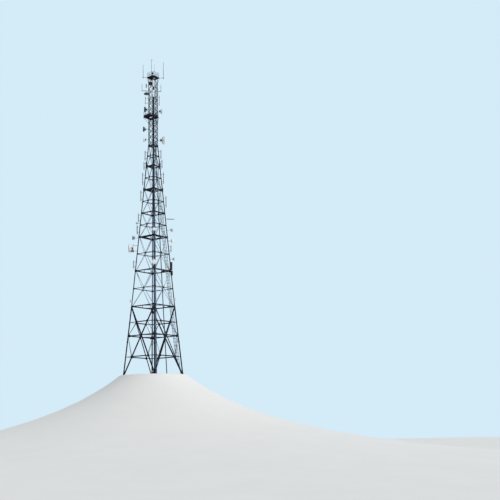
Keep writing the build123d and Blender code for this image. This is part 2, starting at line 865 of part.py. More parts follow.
def drum(corner, height, reach, radius, turn=0.0, facing=0.0, shroud=0.45):
    """A closed dish antenna: shroud, cone and hub, seated on its pipe."""
    heading = way(corner, turn + facing)
    pipe = leg_point(corner, height) + way(corner, turn) * reach
    seat = pipe + heading * (pipe_radius + clearance)
    hub, hub_length, cone = radius * 0.22, radius * 0.25, radius * 0.3
    back = Plane(origin=seat, x_dir=(0, 0, 1), z_dir=heading)
    with BuildPart() as dish:
        with BuildSketch(back.offset(hub_length)):
            ring_of_flats(radius, dish_sides)
        extrude(amount=cone + shroud * radius)
        rear = dish.faces().sort_by(Axis(seat, heading))[0]
        slope = (radius - hub) * cos(radians(180 / dish_sides))
        chamfer(rear.edges(), length=slope, length2=cone, reference=rear)
        with BuildSketch(back):
            ring_of_flats(hub, dish_sides)
        extrude(amount=hub_length)
    return dish.part


def gather(pieces, name):
    """Like pieces that don't touch, written as one node."""
    with BuildPart() as group:
        for piece in pieces:
            add(piece)
    save(group.part, name)


def box_on_leg(corner, height, width, depth, tall, turn=0.0, more=0.0):
    """A cabinet or radio unit fixed to a leg, close to it or with more room."""
    toward = way(corner, turn)
    gap = leg_radius(height) + flange_rim + clearance + more
    middle = leg_point(corner, height - tall / 2) + toward * (gap + depth / 2)
    plane = Plane(origin=middle, x_dir=toward.rotate(Axis.Z, 90), z_dir=(0, 0, 1))
    with BuildPart() as box:
        with BuildSketch(plane):
            Rectangle(width, depth)
        extrude(amount=tall)
        for share in (0.2, 0.8):
            level = height + (share - 0.5) * tall
            seat = Vector(middle.X, middle.Y, level)
            add(flat_bar(leg_point(corner, level), seat, (0, 0, 1), arm_width, arm_width))
        add(room_at(corner, height), mode=Mode.SUBTRACT)
    return box.part


# Sector panels as (height, length), from the lowest up
left_panel_list = [(2362, 152), (3120, 176), (3386, 178), (3878, 225), (4261, 260), (4560, 150), (4790, 200)]
right_panel_list = [(2712, 120), (3755, 240), (4290, 240), (4610, 170), (4830, 180)]
near_panel_list = [(6188, 164), (6424, 164)]
near_panel_reach = 22.0
near_pipe_drop = 34.0

# Dishes as (height, reach, radius, turn, facing)
left_dish_list = [(2712, 100, 90, 0, 0), (2940, 90, 45, 0, 0), (3264, 66, 27, 0, 0)]
right_dish_list = [(2482, 70, 32, 0, 0), (2880, 80, 42, 0, -40), (3120, 90, 40, 0, 0)]
near_dish_list = [(2340, 40, 48, 0, 0), (3060, 40, 33, 0, 0), (2027, 62, 22, 62, -62)]
shaft_left_dish_list = [(5155, 60, 50, 0, 0), (5395, 60, 57, 0, 0), (5855, 34, 60, 0, 0)]
shaft_right_dish_list = [(5148, 60, 90, 0, 0), (5818, 40, 58, 0, 0)]

# Bare pipes off the shaft as (corner, height, reach, length)
bare_pipe_list = [("left", 6059, 72, 190), ("right", 6071, 37, 250), ("left", 6410, 53, 100)]


def panels(corner, sizes, reach=panel_reach):
    """The sector panels beside one leg."""
    return [panel(corner, placed(height), length, reach) for height, length in sizes]


def drums(corner, sizes):
    """The dishes beside one leg."""
    return [drum(corner, placed(height), *rest) for height, *rest in sizes]


def panel_pipes(corner, sizes, reach=panel_reach, more=20.0):
    """The pipes that carry sector panels, longer than them by some length."""
    return [stand_off(corner, placed(height), reach, length + more) for height, length in sizes]


def dish_pipes(corner, sizes, share=2.2):
    """The pipes that carry dishes, as a share of each dish's radius."""
    return [
        stand_off(corner, placed(height), reach, radius * share, turn)
        for height, reach, radius, turn, facing in sizes
    ]


def yagi(corner, height, begin, end):
    """A covered yagi aerial that lies level on its short arm from a leg."""
    toward = outward(corner)
    spot = leg_point(corner, height)
    with BuildPart() as aerial:
        add(rod(spot + toward * begin, spot + toward * end, yagi_radius, 8))
        add(flat_bar(spot, spot + toward * begin, (0, 0, 1), arm_width, arm_width))
        add(room_at(corner, height), mode=Mode.SUBTRACT)
    return aerial.part


gather(panels("left", left_panel_list), "left_panels")
gather(panels("right", right_panel_list) + [yagi("right", placed(3364), 34, 197)], "right_panels")
gather(panels("near", near_panel_list, near_panel_reach), "shaft_panels")
gather(drums("left", left_dish_list), "left_dishes")
gather(drums("right", right_dish_list), "right_dishes")
gather(drums("near", near_dish_list), "near_dishes")
gather(drums("left", shaft_left_dish_list) + drums("right", shaft_right_dish_list), "shaft_dishes")
gather(panel_pipes("left", left_panel_list) + dish_pipes("left", left_dish_list), "left_mounts")
gather(panel_pipes("right", right_panel_list) + dish_pipes("right", right_dish_list), "right_mounts")
gather(dish_pipes("near", near_dish_list), "near_mounts")
gather(
    dish_pipes("left", shaft_left_dish_list, 1.5)
    + dish_pipes("right", shaft_right_dish_list, 1.0)
    + panel_pipes("near", near_panel_list, near_panel_reach, -near_pipe_drop)
    + [stand_off(corner, placed(height), reach, length) for corner, height, reach, length in bare_pipe_list],
    "shaft_mounts",
)

# Radio units and cabinets as (corner, height, width, depth, tall, turn, more room)
box_list = [
    ("right", 2316, 56, 46, 170, -90, 16),
    ("right", 2166, 50, 40, 96, -90, 14),
    ("right", 1616, 40, 24, 50, 0),
    ("left", 1573, 40, 30, 52, 0),
    ("near", 2232, 56, 30, 70, 0),
    ("near", 3553, 40, 24, 180, 0),
]
gather(
    [box_on_leg(corner, placed(height), *rest) for corner, height, *rest in box_list],
    "equipment_boxes",
)


# Whips, rods and outrigger arms at the top
def outrigger(corner, height, reach):
    """A level arm from a chord, with an upturned end."""
    start, end = leg_point(corner, height), leg_point(corner, height) + outward(corner) * reach
    with BuildPart() as arm:
        add(flat_bar(start, end, (0, 0, 1), arm_width, arm_width))
        add(rod(end - Vector(0, 0, arm_width / 2), end + Vector(0, 0, outrigger_tall), whip_radius))
        add(room_at(corner, height), mode=Mode.SUBTRACT)
    return arm.part


gather(
    [outrigger(corner, placed(6290), reach) for corner, reach in (("left", 146), ("right", 75))],
    "outriggers",
)


def top_whip(corner, reach, high):
    """A whip on an arm that lies on the top deck and leaves it at a corner."""
    level = top_deck_height + clearance + arm_width / 2
    start = leg_point(corner, level, arm_width * 4)
    end = leg_point(corner, level, reach)
    with BuildPart() as whip:
        add(flat_bar(start, end, (0, 0, 1), arm_width, arm_width * 0.8))
        add(rod(end - Vector(0, 0, arm_width / 2), Vector(end.X, end.Y, high), whip_radius))
    return whip.part


def standing_rod(foot, high, radius):
    """An upright rod on a small base plate."""
    with BuildPart() as upright:
        add(rod(foot, Vector(foot.X, foot.Y, high), radius))
        add(rod(foot, foot + Vector(0, 0, flange_thickness), radius * 4))
    return upright.part


short_rod_foot = Vector(centre, centre, top_deck_height + clearance) + outward("near") * 64 + outward("right") * 25
gather(
    [
        top_whip("left", 122, placed(6905)),
        top_whip("right", 130, placed(6990)),
        standing_rod(short_rod_foot, placed(6910), 2.4),
    ],
    "top_whips",
)
rod_foot = leg_point("left", top_deck_height, -shaft_side * 0.45)
save(standing_rod(rod_foot, tip_height, 2.4), "lightning_rod")
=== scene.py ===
import json
from math import atan2, cos, pi, radians, sin, sqrt

import bpy
from mathutils import Matrix, Vector


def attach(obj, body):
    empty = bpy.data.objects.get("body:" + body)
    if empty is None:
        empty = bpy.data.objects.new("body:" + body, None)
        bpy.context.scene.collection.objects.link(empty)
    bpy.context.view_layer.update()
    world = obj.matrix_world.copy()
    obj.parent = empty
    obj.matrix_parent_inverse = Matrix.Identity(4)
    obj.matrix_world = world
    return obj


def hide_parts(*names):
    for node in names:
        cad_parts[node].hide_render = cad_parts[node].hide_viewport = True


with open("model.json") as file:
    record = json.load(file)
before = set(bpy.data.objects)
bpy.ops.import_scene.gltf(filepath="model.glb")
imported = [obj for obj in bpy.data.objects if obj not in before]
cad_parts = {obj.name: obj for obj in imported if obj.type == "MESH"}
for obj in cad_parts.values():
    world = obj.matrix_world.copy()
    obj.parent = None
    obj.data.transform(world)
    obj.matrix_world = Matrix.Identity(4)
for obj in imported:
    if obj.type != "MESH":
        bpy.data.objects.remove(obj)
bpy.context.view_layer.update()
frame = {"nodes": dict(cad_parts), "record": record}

nodes = frame["nodes"]
scene = bpy.context.scene

# The tower's own measures, in metres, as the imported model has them
BASE, WAIST, SHAFT = 0.875, 0.646, 0.14
WAIST_Z, SHAFT_Z, TOP_Z, TIP_Z = 1.44, 5.025, 6.6, 7.05
LEG_R, UPPER_R, CHORD_R = 0.013, 0.01, 0.0065
SHAFT_DECK, TOP_DECK, SHAFT_PANELS = 5.678, 6.6033, 12
CENTRE = Vector((BASE / 2, BASE / 2, 0))
ORIGIN, X, Y, Z = Vector((0, 0, 0)), Vector((1, 0, 0)), Vector((0, 1, 0)), Vector((0, 0, 1))
SIGNS = {"near": (-1, -1), "right": (1, -1), "far": (1, 1), "left": (-1, 1)}
CORNERS = ("near", "right", "far", "left")


def new_object(name, data):
    """A new object, linked into the scene."""
    made = bpy.data.objects.new(name, data)
    scene.collection.objects.link(made)
    return made


# ---------------------------------------------------------------- shader maths
class Wire:
    """A shader socket that takes arithmetic: each operator adds its Math node."""

    def __init__(self, sheet, socket):
        self.sheet, self.socket = sheet, socket

    def _sum(self, operation, *others):
        return self.sheet.node("ShaderNodeMath", {"operation": operation}, *others)

    def __add__(self, other):
        return self._sum("ADD", self, other)

    def __radd__(self, other):
        return self._sum("ADD", other, self)

    def __mul__(self, other):
        return self._sum("MULTIPLY", self, other)

    def above(self, low, high):
        """0 below low, 1 over high, smooth between."""
        settings = {"interpolation_type": "SMOOTHSTEP"}
        return self.sheet.node("ShaderNodeMapRange", settings, self, low, high, 0.0, 1.0)


class Finish:
    """One procedural material and the nodes that make it."""

    def __init__(self, name, **constants):
        self.material = bpy.data.materials.new(name)
        self.material.use_nodes = True
        self.tree = self.material.node_tree
        self.tree.nodes.clear()
        self.shader = self.tree.nodes.new("ShaderNodeBsdfPrincipled")
        output = self.tree.nodes.new("ShaderNodeOutputMaterial")
        self.tree.links.new(self.shader.outputs[0], output.inputs["Surface"])
        for socket, value in constants.items():
            self.shader.inputs[socket.replace("_", " ")].default_value = value
        place = self.tree.nodes.new("ShaderNodeTexCoord")
        self.place = Wire(self, place.outputs["Object"])

    def node(self, kind, settings, *values):
        """Any node: its settings first, then the values or wires of its inputs in order."""
        made = self.tree.nodes.new(kind)
        for key, value in settings.items():
            setattr(made, key, value)
        sockets = [s for s in made.inputs if s.enabled]
        for socket, value in zip(sockets, values):
            self.put(socket, value)
        return Wire(self, next(s for s in made.outputs if s.enabled))

    def put(self, socket, value):
        if isinstance(value, Wire):
            self.tree.links.new(value.socket, socket)
        elif value is not None:
            socket.default_value = value

    def drawn_out(self, z):
        """The object's coordinates with its height scaled, for streaks."""
        return self.node("ShaderNodeVectorMath", {"operation": "MULTIPLY"}, self.place, (1.0, 1.0, z))

    def noise(self, scale, detail, place=None):
        """Cloudy noise, as a value."""
        settings = {"noise_dimensions": "3D"}
        return self.node("ShaderNodeTexNoise", settings, place or self.place, scale, detail, 0.55)

    def cells(self, scale):
        """Distance to the nearest of scattered points."""
        return self.node("ShaderNodeTexVoronoi", {}, self.place, scale)

    def mixed(self, share, low, high):
        """Two colours mixed by a share."""
        mix = self.tree.nodes.new("ShaderNodeMix")
        mix.data_type = "RGBA"
        self.put(mix.inputs[0], share)
        self.put(mix.inputs[6], low if isinstance(low, Wire) else (*low, 1.0))
        self.put(mix.inputs[7], high if isinstance(high, Wire) else (*high, 1.0))
        return Wire(self, mix.outputs[2])

    def shade(self, colour, roughness, bump=None, depth=0.0005):
        """What varies over the surface."""
        self.put(self.shader.inputs["Base Color"], colour)
        self.put(self.shader.inputs["Roughness"], roughness)
        if bump is not None:
            raised = self.tree.nodes.new("ShaderNodeBump")
            raised.inputs["Distance"].default_value = depth
            self.put(raised.inputs["Height"], bump)
            self.tree.links.new(raised.outputs[0], self.shader.inputs["Normal"])
        return self.material


def painted_steel(name, base, light, rust_share=0.5):
    """Old paint on steel, given dark colours (on the tower's steel that darkness is painted shade): cloudy
    tone, rain streaks, chalky patches and rust spots.
    """
    f = Finish(name, Metallic=0.0, IOR=1.45, Specular_IOR_Level=0.25)
    tone = f.noise(9.0, 4.0)
    streaks = f.noise(60.0, 3.0, f.drawn_out(0.08)).above(0.5, 0.75)
    chalk = f.noise(34.0, 5.0).above(0.5, 0.72)
    spots = f.noise(120.0, 4.0).above(0.62, 0.7) * f.noise(6.0, 2.0).above(0.45, 0.65) * rust_share
    colour = f.mixed(tone.above(0.35, 0.65) * 0.45 + chalk * 0.35, base, light)
    colour = f.mixed(streaks * 0.35, colour, tuple(c * 0.55 for c in base))
    colour = f.mixed(spots, colour, (0.2, 0.075, 0.03))
    return f.shade(colour, 0.7 + chalk * 0.2 + spots * 0.2, bump=f.noise(400.0, 3.0) + spots * 0.6)


def zinc(name, base, light, rough=0.42):
    """Hot dipped zinc: small spangles, a dull bloom and darker runs."""
    f = Finish(name, Metallic=0.15, Specular_IOR_Level=0.3)
    spangle = f.cells(260.0)
    bloom = f.noise(22.0, 4.0).above(0.4, 0.7)
    runs = f.noise(70.0, 2.0, f.drawn_out(0.1)).above(0.55, 0.8)
    colour = f.mixed(spangle * 0.5 + bloom * 0.4, base, light)
    colour = f.mixed(runs * 0.4, colour, tuple(c * 0.5 for c in base))
    return f.shade(colour, rough + bloom * 0.25, bump=spangle + f.noise(500.0, 2.0), depth=0.0002)


def moulded(name, base, dirt, rough=0.4, grain=500.0):
    """Weathered plastic or smooth paint with grime that gathers in streaks."""
    f = Finish(name, Metallic=0.0, IOR=1.48)
    haze = f.noise(14.0, 4.0).above(0.35, 0.75)
    streaks = f.noise(90.0, 4.0, f.drawn_out(0.12)).above(0.52, 0.8)
    colour = f.mixed(haze * 0.3 + streaks * 0.45, base, dirt)
    return f.shade(colour, rough + haze * 0.2, bump=f.noise(grain, 2.0), depth=0.0001)


# name: the way it is made, its slot, two colours, and more where they differ
FINISHES = {
    # The tower, deck, leg, near leg and plate steel rows are painted shade: the steel's lighter paint given
    # near black, as the tower stands dark against the bright sky.
    "tower_steel": (painted_steel, "tower_steel", (0.006, 0.008, 0.016), (0.02, 0.026, 0.045)),
    "deck_steel": (painted_steel, "deck_steel", (0.005, 0.006, 0.01), (0.016, 0.019, 0.028)),
    "galvanised": (zinc, "galvanised", (0.22, 0.28, 0.38), (0.36, 0.43, 0.54)),
    "bare_metal": (zinc, "bare_metal", (0.22, 0.22, 0.22), (0.5, 0.5, 0.5), 0.45),
    "antenna_white": (moulded, "antenna_white", (0.82, 0.84, 0.86), (0.52, 0.53, 0.53)),
    "panel_grey": (moulded, "panel_grey", (0.36, 0.41, 0.47), (0.22, 0.25, 0.3)),
    "cabinet_brown": (moulded, "cabinet_brown", (0.02, 0.012, 0.016), (0.045, 0.03, 0.034), 0.6),
    "cable_jacket": (moulded, "cable_jacket", (0.008, 0.011, 0.018), (0.025, 0.032, 0.045), 0.6, 900.0),
    "feeder_jacket": (moulded, "cable_jacket", (0.085, 0.165, 0.3), (0.02, 0.035, 0.07), 0.6, 900.0),
    "leg_paint": (painted_steel, "tower_steel", (0.006, 0.008, 0.016), (0.022, 0.028, 0.046), 0.4),
    # The near leg's row is a darker copy of the leg paint: more painted shade on that one leg.
    "near_leg_paint": (painted_steel, "tower_steel", (0.004, 0.005, 0.01), (0.016, 0.02, 0.034), 0.4),
    "plate_paint": (painted_steel, "tower_steel", (0.004, 0.005, 0.009), (0.014, 0.017, 0.026), 0.8),
    "bolt_zinc": (zinc, "bare_metal", (0.03, 0.034, 0.042), (0.09, 0.1, 0.12), 0.6),
    "mount_paint": (painted_steel, "galvanised", (0.01, 0.013, 0.022), (0.032, 0.04, 0.06), 0.5),
    "whip_paint": (painted_steel, "galvanised", (0.006, 0.008, 0.014), (0.018, 0.022, 0.034), 0.2),
    "mount_brown": (painted_steel, "galvanised", (0.022, 0.013, 0.012), (0.055, 0.035, 0.03), 1.0),
    "ladder_zinc": (zinc, "galvanised", (0.12, 0.18, 0.27), (0.26, 0.35, 0.46), 0.6),
    "riser_teal": (painted_steel, "galvanised", (0.01, 0.03, 0.04), (0.03, 0.06, 0.075), 0.3),
    "dish_white": (moulded, "antenna_white", (0.84, 0.86, 0.88), (0.55, 0.56, 0.57)),
    # The covered dish's front cover: painted shade, the cover given the lavender blue of its shaded side.
    "dish_lavender": (moulded, "antenna_white", (0.33, 0.36, 0.53), (0.22, 0.24, 0.36)),
    "dish_blue": (moulded, "antenna_white", (0.17, 0.23, 0.33), (0.09, 0.11, 0.15)),
    "dish_teal": (moulded, "antenna_white", (0.016, 0.05, 0.062), (0.03, 0.04, 0.045)),
    "panel_light": (moulded, "panel_grey", (0.84, 0.86, 0.88), (0.58, 0.59, 0.6)),
    "panel_blue": (moulded, "panel_grey", (0.02, 0.035, 0.08), (0.012, 0.018, 0.035)),
    "yagi_cover": (moulded, "panel_grey", (0.4, 0.42, 0.52), (0.26, 0.27, 0.33)),
    "radio_brown": (moulded, "cabinet_brown", (0.26, 0.12, 0.09), (0.15, 0.075, 0.06), 0.6),
    "cabinet_white": (moulded, "cabinet_brown", (0.8, 0.81, 0.8), (0.5, 0.48, 0.44)),
    "cabinet_dark": (moulded, "cabinet_brown", (0.008, 0.008, 0.012), (0.025, 0.026, 0.032)),
}
finishes = {name: make(name, *rest) for name, (make, slot, *rest) in FINISHES.items()}


def dress_nodes():
    """Gives every CAD node the finish of its slot."""
    slots = {entry["node"]: entry["material_slot"] for entry in frame["record"]["subparts"]}
    for name, piece in nodes.items():
        piece.data.materials.clear()
        piece.data.materials.append(finishes[slots.get(name, "tower_steel")])


# ---------------------------------------------------------------- the tower's lines
def half_side(z):
    """Half the distance between neighbouring leg axes at a height."""
    if z <= WAIST_Z:
        return (BASE + (WAIST - BASE) * z / WAIST_Z) / 2
    if z <= SHAFT_Z:
        return (WAIST + (SHAFT - WAIST) * (z - WAIST_Z) / (SHAFT_Z - WAIST_Z)) / 2
    return SHAFT / 2


def outward(corner, turn=0.0):
    """The level way out from the axis through a corner, turned by degrees."""
    angle = atan2(SIGNS[corner][1], SIGNS[corner][0]) + radians(turn)
    return Vector((cos(angle), sin(angle), 0))


def leg_point(corner, z, out=0.0, turn=0.0):
    """A point on a leg's axis, moved outwards."""
    half = half_side(z)
    at_axis = CENTRE + Vector((SIGNS[corner][0] * half, SIGNS[corner][1] * half, z))
    return at_axis + outward(corner, turn) * out


def face_point(quarter, share, z, inward=0.0):
    """A point in a face: share of the half side, from -1 to 1, at a height."""
    half = half_side(z)
    x, y = share * half, inward - half
    for _ in range(quarter):
        x, y = -y, x
    return CENTRE + Vector((x, y, z))


def face_way(quarter):
    """The way out of a face."""
    return Vector(((0, -1, 0), (1, 0, 0), (0, 1, 0), (-1, 0, 0))[quarter])


def leg_size(z):
    """The radius of the leg or chord at a height."""
    return LEG_R if z <= WAIST_Z else UPPER_R if z <= SHAFT_Z else CHORD_R


# ---------------------------------------------------------------- shapes built point by point
def skin(count, levels):
    """Faces of stacked rings of points: both ends, then the sides level by level."""
    top = (levels - 1) * count
    sides = [tuple(range(count - 1, -1, -1)), tuple(range(top, top + count))]
    for low in range(0, top, count):
        for n in range(count):
            m = (n + 1) % count
            sides.append((low + n, low + m, low + count + m, low + count + n))
    return sides


def octagon(a, b, cut):
    """A rectangle of half sides a and b with cut corners."""
    return [(a - cut, b), (cut - a, b), (-a, b - cut), (-a, cut - b), (cut - a, -b), (a - cut, -b),
        (a, cut - b), (a, b - cut)]


class Shape:
    """Points and faces of one piece, added form by form."""

    def __init__(self):
        self.points, self.sides, self.soft = [], [], []

    def put(self, points, sides, soft=False):
        start = len(self.points)
        self.points += [tuple(p) for p in points]
        self.sides += [tuple(start + n for n in side) for side in sides]
        self.soft += [soft] * len(sides)

    def block(self, middle, x_way, y_way, z_way, size, cut=0.0):
        """A block with cut edges: ways are unit vectors, size its three lengths."""
        if x_way.cross(y_way).dot(z_way) < 0:
            x_way, y_way, size = y_way, x_way, (size[1], size[0], size[2])
        a, b, c = (s / 2 for s in size)
        cut = min(cut, a * 0.49, b * 0.49, c * 0.49)
        if cut <= 0:
            points = [
                middle + x_way * (a * i) + y_way * (b * j) + z_way * (c * k)
                for k in (-1, 1) for j in (-1, 1) for i in (-1, 1)
            ]
            return self.put(points, [(0, 2, 3, 1), (4, 5, 7, 6), (0, 1, 5, 4), (2, 6, 7, 3), (0, 4, 6, 2),
                (1, 3, 7, 5)])
        small, full = octagon(a - cut, b - cut, cut), octagon(a, b, cut)
        levels = [(small, -c), (full, cut - c), (full, c - cut), (small, c)]
        points = [middle + x_way * x + y_way * y + z_way * z for ring, z in levels for x, y in ring]
        self.put(points, skin(8, 4))

    def box(self, middle, toward, size, cut=0.0):
        """A level block: width, depth along toward, and height."""
        self.block(middle, toward.cross(Z), toward, Z, size, cut)

    def bar(self, start, end, across, width, depth, cut=0.0):
        """A straight bar: width runs across, depth square to both."""
        run = end - start
        z_way = run.normalized()
        y_way = z_way.cross(across).normalized()
        x_way = y_way.cross(z_way)
        self.block((start + end) / 2, x_way, y_way, z_way, (width, depth, run.length), cut)

    def turned(self, foot, way, profile, around=24, soft=True):
        """A turned form: profile of (radius, distance along the way); open ends are closed flat."""
        if profile[0][0]:
            profile = [(0, profile[0][1])] + profile
        if profile[-1][0]:
            profile = profile + [(0, profile[-1][1])]
        way = way.normalized()
        first = way.orthogonal().normalized()
        second = way.cross(first)
        points, sides, last = [], [], None
        for radius, along in profile:
            spot = foot + way * along
            if radius <= 1e-7:
                ring = [len(points)]
                points.append(spot)
            else:
                ring = list(range(len(points), len(points) + around))
                for n in range(around):
                    angle = 2 * pi * n / around
                    points.append(spot + first * (radius * cos(angle)) + second * (radius * sin(angle)))
            if last:
                for n in range(around):
                    m = (n + 1) % around
                    if len(last) == 1:
                        sides.append((last[0], ring[m], ring[n]))
                    elif len(ring) == 1:
                        sides.append((last[n], last[m], ring[0]))
                    else:
                        sides.append((last[n], last[m], ring[m], ring[n]))
            last = ring
        self.put(points, sides, soft)

    def disc(self, foot, way, radius, tall, around=24, soft=True):
        """A plain drum."""
        self.turned(foot, way, [(radius, 0), (radius, tall)], around, soft)

    def pin(self, middle, way, reach, radius, around=8):
        """A round bar that reaches as far to both sides."""
        self.pipe(middle - way * reach, middle + way * reach, radius, around)

    def pipe(self, start, end, radius, around=14):
        """A round bar with softened ends."""
        run = end - start
        edge = min(radius * 0.3, run.length * 0.2)
        self.turned(
            start, run,
            [(radius - edge, 0), (radius, edge), (radius, run.length - edge), (radius - edge, run.length)],
            around,
        )

    def path(self, points, radius, around=10):
        """A round bar bent along points."""
        count = len(points)
        ways = []
        for n in range(count):
            ways.append((points[min(n + 1, count - 1)] - points[max(n - 1, 0)]).normalized())
        side = ways[0].orthogonal().normalized()
        rings = []
        for point, way in zip(points, ways):
            side = (side - way * side.dot(way)).normalized()
            other = way.cross(side)
            rings.append([
                point + side * (radius * cos(2 * pi * n / around))
                    + other * (radius * sin(2 * pi * n / around))
                for n in range(around)
            ])
        self.put([p for ring in rings for p in ring], skin(around, count), True)

    def prism(self, outline, x_way, y_way, z_way, foot, tall, cut=0.0):
        """An upright form on an outline of (x, y), its ends drawn in by cut."""
        area = sum(a[0] * b[1] - b[0] * a[1] for a, b in zip(outline, outline[1:] + outline[:1]))
        if area * x_way.cross(y_way).dot(z_way) < 0:
            outline = outline[::-1]
        count = len(outline)
        cx = sum(p[0] for p in outline) / count
        cy = sum(p[1] for p in outline) / count
        reach = max(max(abs(p[0] - cx), abs(p[1] - cy)) for p in outline)
        shrink = 1 - cut / reach
        levels = [(0.0, shrink), (cut, 1.0), (tall - cut, 1.0), (tall, shrink)] if cut else [(0.0, 1.0),
            (tall, 1.0)]
        points = [
            foot + x_way * (cx + (x - cx) * s) + y_way * (cy + (y - cy) * s) + z_way * z
            for z, s in levels for x, y in outline
        ]
        self.put(points, skin(count, len(levels)))

    def mesh(self, name):
        made = bpy.data.meshes.new(name)
        made.from_pydata(self.points, [], self.sides)
        made.polygons.foreach_set("use_smooth", self.soft)
        made.update()
        return made

    def made(self, name, finish, *stands_for):
        """The piece as an object that rides on the tower."""
        return settle(new_object(name, self.mesh(name)), finish, *stands_for)


def settle(piece, finish, *stands_for):
    """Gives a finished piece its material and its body."""
    piece.data.materials.clear()
    piece.data.materials.append(finishes[finish])
    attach(piece, "root")
    if stands_for:
        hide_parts(*stands_for)
    return piece


# ---------------------------------------------------------------- geometry trees
class Steps:
    """A Geometry Nodes tree made step by step, its sizes as named inputs."""

    def __init__(self, name, **sizes):
        self.group = bpy.data.node_groups.new(name, "GeometryNodeTree")
        face = self.group.interface
        face.new_socket("Geometry", in_out="INPUT", socket_type="NodeSocketGeometry")
        face.new_socket("Geometry", in_out="OUTPUT", socket_type="NodeSocketGeometry")
        self.identifiers = {
            label: face.new_socket(label, in_out="INPUT", socket_type="NodeSocket" + kind).identifier
            for label, kind in {**sizes, "Finish": "Material"}.items()
        }
        self.entry = self.group.nodes.new("NodeGroupInput")
        self.exit = self.group.nodes.new("NodeGroupOutput")
        self.given = self.entry.outputs["Geometry"]

    def size(self, label):
        return self.entry.outputs[label]

    def node(self, kind, settings=None, out=0, **values):
        """Any node: its settings first, then its inputs by name."""
        made = self.group.nodes.new(kind)
        for key, value in (settings or {}).items():
            setattr(made, key, value)
        for label, value in values.items():
            named = [s for s in made.inputs if s.name == label.replace("_", " ")]
            socket = next((s for s in named if s.enabled), named[0])
            for each in value if isinstance(value, list) else [value]:
                if isinstance(each, bpy.types.NodeSocket):
                    self.group.links.new(each, socket)
                else:
                    socket.default_value = each
        return made.outputs[out]

    def box_line(self, width, height):
        """A rectangle as a profile."""
        return self.node("GeometryNodeCurvePrimitiveQuadrilateral", Width=self.size(width),
            Height=self.size(height))

    def bars(self, profile):
        """The profile swept along the given edges."""
        line = self.node("GeometryNodeMeshToCurve", Mesh=self.given)
        line = self.node("GeometryNodeSetCurveNormal", {"mode": "Z_UP"}, Curve=line)
        return self.end(self.node("GeometryNodeCurveToMesh", Curve=line, Profile_Curve=profile,
            Fill_Caps=True))

    def copies(self, points, **turning):
        """The small shape on each point, turned to the point's across."""
        across = self.node("GeometryNodeInputNamedAttribute", {"data_type": "FLOAT_VECTOR"}, Name="across")
        way = self.node("FunctionNodeAlignRotationToVector", turning, Vector=across)
        copy = self.node("GeometryNodeObjectInfo", {"transform_space": "ORIGINAL"}, out="Geometry",
            Object=self.size("Copy"))
        return self.end(self.node("GeometryNodeInstanceOnPoints", Points=points, Instance=copy,
            Rotation=way))

    def end(self, geometry):
        real = self.node("GeometryNodeRealizeInstances", Geometry=geometry)
        done = self.node("GeometryNodeSetMaterial", Geometry=real, Material=self.size("Finish"))
        self.group.links.new(done, self.exit.inputs[0])
        return self

    def grow(self, name, points, edges, finish, *stands_for, across=None, **sizes):
        """Grows a piece on points and edges, and leaves it a plain mesh."""
        mesh = bpy.data.meshes.new(name)
        mesh.from_pydata([tuple(p) for p in points], edges, [])
        if across:
            layer = mesh.attributes.new("across", "FLOAT_VECTOR", "POINT")
            layer.data.foreach_set("vector", [c for way in across for c in way])
        piece = new_object(name, mesh)
        grower = piece.modifiers.new("grow", "NODES")
        grower.node_group = self.group
        for label, value in {**sizes, "Finish": finishes[finish]}.items():
            grower[self.identifiers[label]] = value
        view = bpy.context.evaluated_depsgraph_get()
        grown = bpy.data.meshes.new_from_object(piece.evaluated_get(view))
        piece.modifiers.clear()
        piece.data = grown
        grown.name = name
        return settle(piece, finish, *stands_for)

    def along(self, name, pairs, finish, *stands_for, across=None, **sizes):
        """Grows a piece on separate edges, each a pair of its ends."""
        ends = [p for pair in pairs for p in pair]
        edges = [(n, n + 1) for n in range(0, len(ends), 2)]
        ways = None if across is None else [across] * len(ends)
        return self.grow(name, ends, edges, finish, *stands_for, across=ways, **sizes)


def angles_tree():
    """Angle bars along edges: a wide flange in the plane and a narrow one square to it."""
    t = Steps("angle_bars_on_edges", Width="Float", Depth="Float", Thickness="Float", Out="Float",
        Up="Float")
    place = t.node("ShaderNodeCombineXYZ", X=t.size("Out"), Y=t.size("Up"))
    deep = t.node("GeometryNodeTransform", Geometry=t.box_line("Depth", "Thickness"), Translation=place)
    wide = t.box_line("Thickness", "Width")
    return t.bars(t.node("GeometryNodeJoinGeometry", Geometry=[wide, deep]))


def row_tree():
    """Copies of a small shape at a pitch along edges, turned to the edges' across."""
    t = Steps("copies_along_lines", Pitch="Float", Copy="Object")
    line = t.node("GeometryNodeMeshToCurve", Mesh=t.given)
    spaced = t.node("GeometryNodeResampleCurve", {"mode": "LENGTH"}, Curve=line, Length=t.size("Pitch"))
    points = t.node("GeometryNodeCurveToPoints", {"mode": "EVALUATED"}, Curve=spaced)
    return t.copies(points, axis="X", pivot_axis="Z")


flats = Steps("flat_bars_on_edges", Width="Float", Thickness="Float")
flats.bars(flats.box_line("Thickness", "Width"))
angles = angles_tree()
rows = row_tree()
spots = Steps("copies_on_points", Copy="Object")
spots.copies(spots.given, axis="Z")


def grow_bars(name, pairs, finish, *stands_for, **sizes):
    """Angle bars where the sizes give a depth, and else flat bars."""
    tree = angles if "Depth" in sizes else flats
    tree.along(name, pairs, finish, *stands_for, **sizes)


def copy_of(shape, name):
    """A small shape that the trees copy; it isn't shown itself."""
    return bpy.data.objects.new(name, shape.mesh(name))


def bolt_shape(size, grip):
    """A hex bolt with its nut, through plates of some thickness, along Z."""
    s, half = Shape(), grip / 2
    s.turned(
        ORIGIN, Z,
        [(0, -half - size * 1.35), (size * 0.45, -half - size * 1.3), (size * 0.45, -half - size * 0.8),
            (size * 0.92, -half - size * 0.75), (size * 0.92, half + size * 0.6),
            (size * 0.75, half + size * 0.72)],
        6, False,
    )
    s.disc(Z * half, Z, size * 1.2, size * 0.14, 8, False)
    return s


